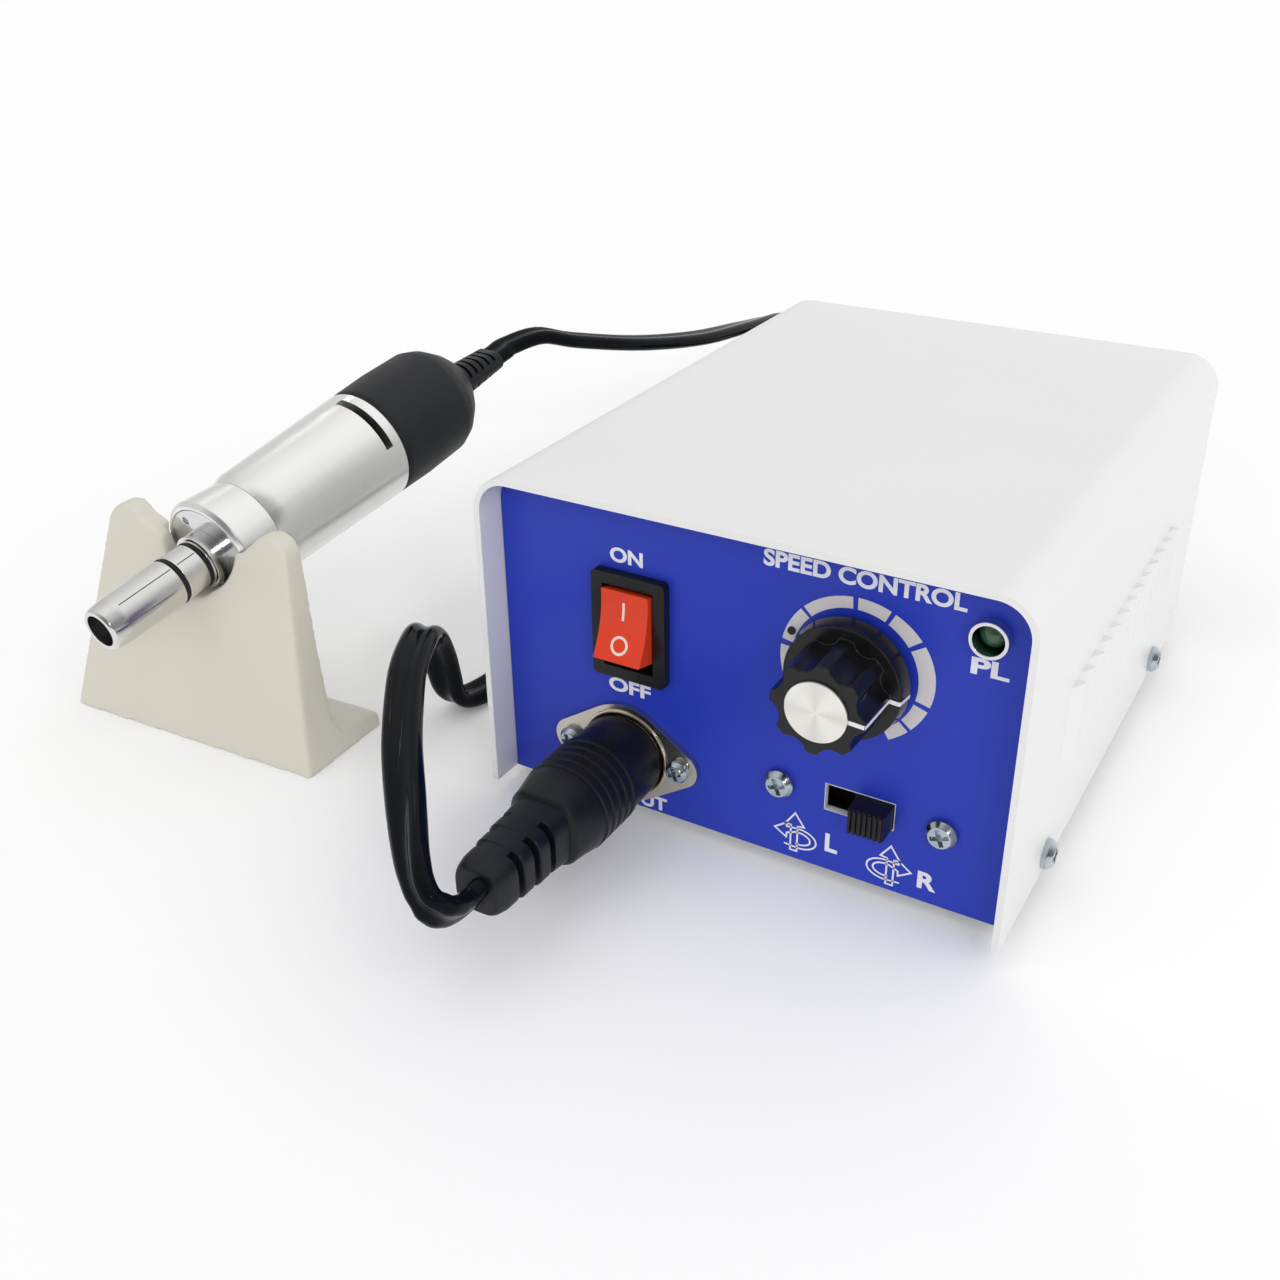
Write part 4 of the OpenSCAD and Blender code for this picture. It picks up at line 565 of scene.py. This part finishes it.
# %% Direction symbols
def oval(x, y, rx, ry, first, last, steps=24):
    turns = [radians(first + (last - first) * i / steps) for i in range(steps + 1)]
    return [(x + rx * cos(a), y + ry * sin(a)) for a in turns]


def turning_symbol(side):
    head = [(-0.65, 1.3), (-1.75, 1.2), (0.1, 4.0), (1.9, 1.45), (0.65, 1.3)]
    shaft = [(-0.65, 1.4), (-0.65, -4.2), (0.65, -4.2), (0.65, 1.4)]
    bend = [(-1.85, -3.2)] + oval(0.9, -1.3, 3.4, 2.1, -97, 97)
    point = [(-1.45, 0.6), (-1.55, 1.35), (-3.8, -0.3), (-1.5, -1.75), (-1.4, -0.75)]
    inner = oval(0.9, -1.3, 2.25, 1.3, 105, -105)
    return [[(side * x, y) for x, y in line] for line in (head, shaft, bend + point + inner)]


for side, x, z in ((1, 62.0, 8.9), (-1, 80.3, 8.45)):
    for line in turning_symbol(side):
        loft(words, ribbon([(x + px, z + pz) for px, pz in line], 0.34))
bmesh.ops.remove_doubles(words, verts=words.verts, dist=0.001)
bmesh.ops.recalc_face_normals(words, faces=words.faces)
bmesh.ops.transform(words, matrix=on_panel, verts=words.verts)
print_on_film = piece("panel_print", words, ink, "control_box")

# %% Dial round the knob
KNOB_X, KNOB_Z = 71.2, 45.0
DIAL = ((-149, -118), (-114, -84), (-79, -48), (-45, -4), (0, 25), (28.5, 53.5), (57.5, 104), (108, 128.5),
        (131.5, 149))
bm = bmesh.new()
for first, last in DIAL:
    rings = []
    for k in range(13):
        turn = first + (last - first) * k / 12
        a, wide = radians(90 - turn), 2.1 + 0.8 * exp(-((turn - 75) / 45) ** 2)
        rings.append([(KNOB_X + r * cos(a), KNOB_Z + r * sin(a), 0) for r in (11.15, 11.15 + wide)])
    loft(bm, rings)
bmesh.ops.recalc_face_normals(bm, faces=bm.faces)
bmesh.ops.transform(bm, matrix=on_panel, verts=bm.verts)
dial = piece("dial_print", bm, dial_ink, "control_box")

# %% [markdown]
# ## Switch, socket and knob
# Small bought-in parts: a rocker in its bezel, a socket with a bent nickel flange, a fluted knob with a spun cap.

# %% Their finishes
satin_black = finish("satin_black", (0.009, 0.009, 0.010), 0.34, cloud=200, shift=0.25, grain=5000, lift=0.01,
                     specular=0.3)
knob_black = finish("knob_black", (0.008, 0.008, 0.009), 0.24, cloud=200, shift=0.25, grain=5000, lift=0.004,
                    swing=0.03, specular=0.34)
rocker_red = finish("rocker_red", (0.72, 0.050, 0.016), 0.32, cloud=120, shift=0.04, grain=4000, lift=0.006,
                    swing=0.04, specular=0.3)
nickel = finish("nickel", (0.66, 0.61, 0.53), 0.2, metal=1.0, cloud=120, shift=0.08, grain=2500, lift=0.006)
bright_zinc = finish("bright_zinc", (0.50, 0.56, 0.60), 0.2, metal=1.0, cloud=500, shift=0.15, grain=4000, lift=0.01)
chrome = finish("chrome", (0.72, 0.72, 0.74), 0.08, metal=1.0, cloud=120, shift=0.03, grain=3000, lift=0.001,
                swing=0.03)
brass = finish("brass", (0.66, 0.48, 0.2), 0.32, metal=1.0, cloud=200, shift=0.1, swing=0.04)
steel = finish("steel", (0.5, 0.51, 0.53), 0.32, metal=1.0, cloud=200, shift=0.1, swing=0.04)
green_lens = finish("green_lens", (0.012, 0.075, 0.03), 0.08, coat=0.6, cloud=300, shift=0.3, lift=0.002)
print("panel finishes made")

# %% Power switch with its I and O
housing = skin("power_switch_housing", 0.35, satin_black, segments=3)
rocker = skin("power_rocker", 0.45, rocker_red, segments=3, sharp=20)
terminals = skin("switch_terminals", 0.1, brass)
rocker_ink = finish("rocker_ink", (0.84, 0.66, 0.58), 0.5, cloud=300, shift=0.05, grain=6000, lift=0.004)
rocker_place = Matrix.Translation(spot(29, 7.9, 42)) @ Matrix.Rotation(radians(-15), 4, "X")
marks = bmesh.new()
loft(marks, ribbon([(0, 1.2 + 0.34 * i) for i in range(11)], 0.5))
loft(marks, ribbon(oval(0, -3.35, 1.5, 1.5, 0, 345, 23), 0.5, closed=True))
bmesh.ops.remove_doubles(marks, verts=marks.verts, dist=0.001)
for v in marks.verts:
    hollow = 5.3 + 1.105 * (v.co.y / 6.5) ** 2
    v.co = rocker_place @ (Vector((v.co.x, -hollow - 0.04, v.co.y)) * MM)
bmesh.ops.recalc_face_normals(marks, faces=marks.faces)
rocker_marks = piece("rocker_marks", marks, rocker_ink, "rocker")

# %% Output socket
flange = skin("socket_flange", 0.2, nickel, segments=3)
insert = skin("socket_insert", 0.15, satin_black)
paint(nickel, "plug_shell")
paint(brass, "plug_pins")

# %% Speed control
knob = skin("speed_knob", 0.22, knob_black, segments=3)
pot = skin("speed_pot", 0.15, satin_black)
pot_nut = skin("pot_nut", 0.2, nickel)
pot_shaft = skin("pot_shaft", 0.15, steel)

# %% [markdown]
# The knob's cap is spun aluminium. Its rings are far too fine to model, so the shader stretches the highlights
# outwards from the knob's axis instead. Its base colour is painted lighter and darker in sectors round the axis:
# painted highlights for the bright and dim sectors that light draws on such a cap. The pointer is a painted line that
# folds over the knob's edges from the cap to the skirt.


# %% Spun cap and pointer
def spun(coat, centre):
    coat = coat.copy()
    nodes, links = coat.node_tree.nodes, coat.node_tree.links
    shader = nodes["Principled BSDF"]
    shader.inputs["Anisotropic"].default_value = 0.85
    where, outwards = nodes.new("ShaderNodeTexCoord"), nodes.new("ShaderNodeVectorMath")
    outwards.operation = "SUBTRACT"
    outwards.inputs[1].default_value = centre
    links.new(where.outputs["Object"], outwards.inputs[0])
    links.new(outwards.outputs["Vector"], shader.inputs["Tangent"])
    # The base colour is painted lighter and darker by the angle round the axis: painted highlight sectors, not a colour
    # of the metal.
    upright, fan, painted_highlight_sectors = (nodes.new("ShaderNode" + kind) for kind in ("Mapping", "TexGradient", "ValToRGB"))
    upright.inputs["Rotation"].default_value = (radians(-90), 0, 0)
    fan.gradient_type = "RADIAL"
    links.new(outwards.outputs["Vector"], upright.inputs["Vector"])
    links.new(upright.outputs["Vector"], fan.inputs["Vector"])
    links.new(fan.outputs["Fac"], painted_highlight_sectors.inputs["Fac"])
    links.new(painted_highlight_sectors.outputs["Color"], shader.inputs["Base Color"])
    ramp = painted_highlight_sectors.color_ramp
    ramp.elements[0].color = ramp.elements[1].color = (0.82, 0.81, 0.76, 1)
    for place, shade in ((0.08, 0.90), (0.17, 0.94), (0.25, 0.78), (0.34, 0.90), (0.44, 0.92), (0.5, 0.78),
                         (0.58, 0.94), (0.67, 0.95), (0.75, 0.80), (0.86, 0.90), (0.95, 0.90)):
        ramp.elements.new(place).color = (shade, shade * 0.99, shade * 0.93, 1)
    return coat


bright_aluminium = finish("bright_aluminium", (0.80, 0.79, 0.76), 0.3, metal=1.0, cloud=200, shift=0.03, lift=0.001,
                          swing=0.02)
cap_coat = spun(bright_aluminium, spot(KNOB_X, -8.9, KNOB_Z))
cap_coat.name = "spun_aluminium_painted_highlights"
knob_cap = skin("knob_cap", 0.2, cap_coat)
POINTER = radians(90 - 94)
out, across = Vector((cos(POINTER), 0, sin(POINTER))), Vector((-sin(POINTER), 0, cos(POINTER)))
folds = [(5.3, -8.34), (8.0, -8.34), (8.24, -8.1), (8.43, 0.94), (10.1, 0.95), (10.31, 1.2), (10.63, 4.35)]
rings = []
for r, y in folds:
    middle = spot(KNOB_X, y, KNOB_Z) + out * r * MM
    rings.append((middle - across * 0.38 * MM, middle + across * 0.38 * MM))
bm = bmesh.new()
loft(bm, rings)
bmesh.ops.recalc_face_normals(bm, faces=bm.faces)
white_paint = finish("white_paint", (0.80, 0.80, 0.82), 0.4, cloud=300, shift=0.03)
pointer = piece("knob_pointer", bm, white_paint, "knob", crisp=20)

# %% Pilot light
lamp_ring = skin("led_bezel", 0.2, chrome, segments=3)
lamp_lens = skin("pilot_led", 0.1, green_lens)

# %% [markdown]
# The slider's front is ribbed for the thumb. The CAD block is pushed in by the ribs' height and the ribs stand on it
# up to the old face, so the slider stays as long as it was. The cut edge of its window is painted white, and this thin
# coat is an outline that is extruded into the panel and given a thickness.

# %% Direction switch with its ribbed slider
slide_frame = skin("direction_switch", 0.1, satin_black)
corners = [Vector((73.9 + sx * 6.45, 18.5 + sz * 2.75, 0)) for sx, sz in ((-1, -1), (1, -1), (1, 1), (-1, 1))]
bm = bmesh.new()
outline = [bm.verts.new(c) for c in corners]
edges = [bm.edges.new((outline[i - 1], outline[i])) for i in range(4)]
wall = bmesh.ops.extrude_edge_only(bm, edges=edges)["geom"]
bmesh.ops.translate(bm, vec=(0, 0, -1.35), verts=[v for v in wall if isinstance(v, bmesh.types.BMVert)])
bmesh.ops.recalc_face_normals(bm, faces=bm.faces)
bmesh.ops.solidify(bm, geom=bm.faces[:], thickness=0.1)
bmesh.ops.recalc_face_normals(bm, faces=bm.faces)
bmesh.ops.transform(bm, matrix=facing_front(0, PANEL_Y - 0.05, 0), verts=bm.verts)
window_edge = piece("window_edge", bm, white_paint, "control_box")
SLIDER_X, SLIDER_Z, RIB = 76.8, 18.5, 0.5
block = welded("direction_slider")
face_y = spot(0, 1.5, 0).y
for v in block.verts:
    if abs(v.co.y - face_y) < 0.01 * MM:
        v.co.y += RIB * MM
for i in range(7):
    made = bmesh.ops.create_cube(block, size=1)["verts"]
    place = spot(SLIDER_X + (i - 3) * 0.94, 1.5 + RIB, SLIDER_Z)
    rib_size = Matrix.Diagonal((0.5 * MM, 2 * RIB * MM, 4.9 * MM, 1))
    bmesh.ops.transform(block, matrix=Matrix.Translation(place) @ rib_size, verts=made)
slider = skin("direction_slider", 0.14, satin_black, bm=block)
for node in ("cover_screws", "socket_screws", "direction_screws", "inlet_screws", "board_screws",
             "transformer_screws"):
    skin(node, 0.22, bright_zinc, segments=3)

# %% Rear fittings
for node in ("mains_inlet", "fuse_holder", "fuse_cap", "foot_pedal_jack"):
    skin(node, 0.4, satin_black, segments=3)
skin("inlet_pins", 0.2, brass)
skin("jack_nut", 0.25, nickel)

# %% [markdown]
# ## Handpiece
# Chrome nose, aluminium body and a black moulded cap. The barrel is milled from the front, so the edge of its front
# bevel runs in three shallow scallops round it, made by sliding that edge along the barrel. A fine line marks the
# nose.

# %% Nose, plate and rings
ring_rubber = finish("ring_rubber", (0.010, 0.010, 0.010), 0.5, cloud=300, shift=0.2, specular=0.3)
nose_chrome = finish("nose_chrome", (0.74, 0.735, 0.72), 0.2, metal=1.0, cloud=120, shift=0.03, grain=3000, lift=0.001)
nose = skin("coupling_nose", 0.12, nose_chrome, segments=3)
rings = skin("nose_o_rings", 0.01, ring_rubber)
plate = skin("front_plate", 0.15, chrome)
plate_screws = skin("front_plate_screws", 0.06, steel)
bm = bmesh.new()
line_at = radians(-58)
for first, last in ((-24.3, -11.2), (-9.4, -4.9)):
    ends = []
    for t in (first, last):
        middle = Vector((5.13 * cos(line_at), 5.13 * sin(line_at), t))
        side = Vector((-sin(line_at), cos(line_at), 0)) * 0.09
        ends.append((hand_place @ ((middle - side) * MM), hand_place @ ((middle + side) * MM)))
    loft(bm, ends)
bmesh.ops.recalc_face_normals(bm, faces=bm.faces)
nose_line = piece("nose_line", bm, ring_rubber, "handpiece")

# %% Barrel, rear cap and strain relief
satin_aluminium = finish("satin_aluminium", (0.90, 0.895, 0.88), 0.29, metal=1.0, cloud=40, shift=0.03, grain=3000,
                         lift=0.0008, swing=0.015)
cap_black = finish("cap_black", (0.012, 0.013, 0.015), 0.5, cloud=120, shift=0.2, grain=4500, lift=0.015,
                   specular=0.28)
ring = skin("front_ring", 0.2, satin_aluminium, segments=3)
tube = welded("motor_barrel")
for v in tube.verts:
    p = hand_place.inverted() @ v.co / MM
    if abs(p.z - 12.8) < 0.1 and p.xy.length > 12:
        slide = 1.2 * abs(cos(1.5 * p.xy.angle_signed(Vector((0.53, -0.85))))) ** 0.6
        v.co = hand_place @ (Vector((p.x, p.y, p.z + slide)) * MM)
barrel = skin("motor_barrel", 0.15, satin_aluminium, bm=tube)
rear = skin("rear_cap", 0.3, cap_black, sharp=20)
relief = skin("strain_relief", 0.12, plug_pvc)

# %% [markdown]
# ## Stand
# A soft ivory casting with no sharp edge anywhere. Bevels would collide in the notch, so the copy is cut into small
# voxels and smoothed, which rounds every edge alike.

# %% Stand
ivory = finish("ivory", (0.64, 0.615, 0.53), 0.3, coat=0.2, cloud=20, shift=0.02, grain=1800, lift=0.008,
               swing=0.02)
stand = piece("stand", welded("handpiece_stand"), ivory, "control_box", ["handpiece_stand"])
stand.modifiers.remove(stand.modifiers["facing"])
voxels = stand.modifiers.new("voxels", "REMESH")
voxels.mode, voxels.voxel_size, voxels.use_smooth_shade = "VOXEL", 0.42 * MM, True
soften = stand.modifiers.new("soften", "SMOOTH")
soften.factor, soften.iterations = 0.5, 28
print("stand softened")

# %% [markdown]
# ## Inside
# The board, the transformer and the motor's inner parts are out of sight, but an opened box or a cut handpiece should
# still look right, so their CAD meshes get plain finishes.

# %% Finishes of the inner pieces
board_green = finish("board_green", (0.02, 0.16, 0.06), 0.35, cloud=200, shift=0.15, grain=900, lift=0.01)
iron = finish("iron", (0.10, 0.10, 0.11), 0.5, metal=0.6, cloud=200, shift=0.2)
copper = finish("copper", (0.55, 0.22, 0.09), 0.4, metal=0.8, cloud=200, shift=0.2)
sleeve_blue = finish("sleeve_blue", (0.02, 0.03, 0.10), 0.35, cloud=100, shift=0.1)
brown_plastic = finish("brown_plastic", (0.06, 0.03, 0.015), 0.45, cloud=100, shift=0.1)
carbon = finish("carbon", (0.02, 0.02, 0.02), 0.7, cloud=300, shift=0.3)
paint(board_green, "circuit_board")
paint(brass, "board_standoffs")
paint(iron, "transformer_core", "armature_core", "stator_magnets")
paint(copper, "transformer_coil", "commutator")
paint(sleeve_blue, "filter_capacitor")
paint(satin_black, "heat_sink", "cord_tie")
paint(steel, "rotor_bearings", "rotor_shaft")
paint(brown_plastic, "brush_holder")
paint(carbon, "carbon_brushes")
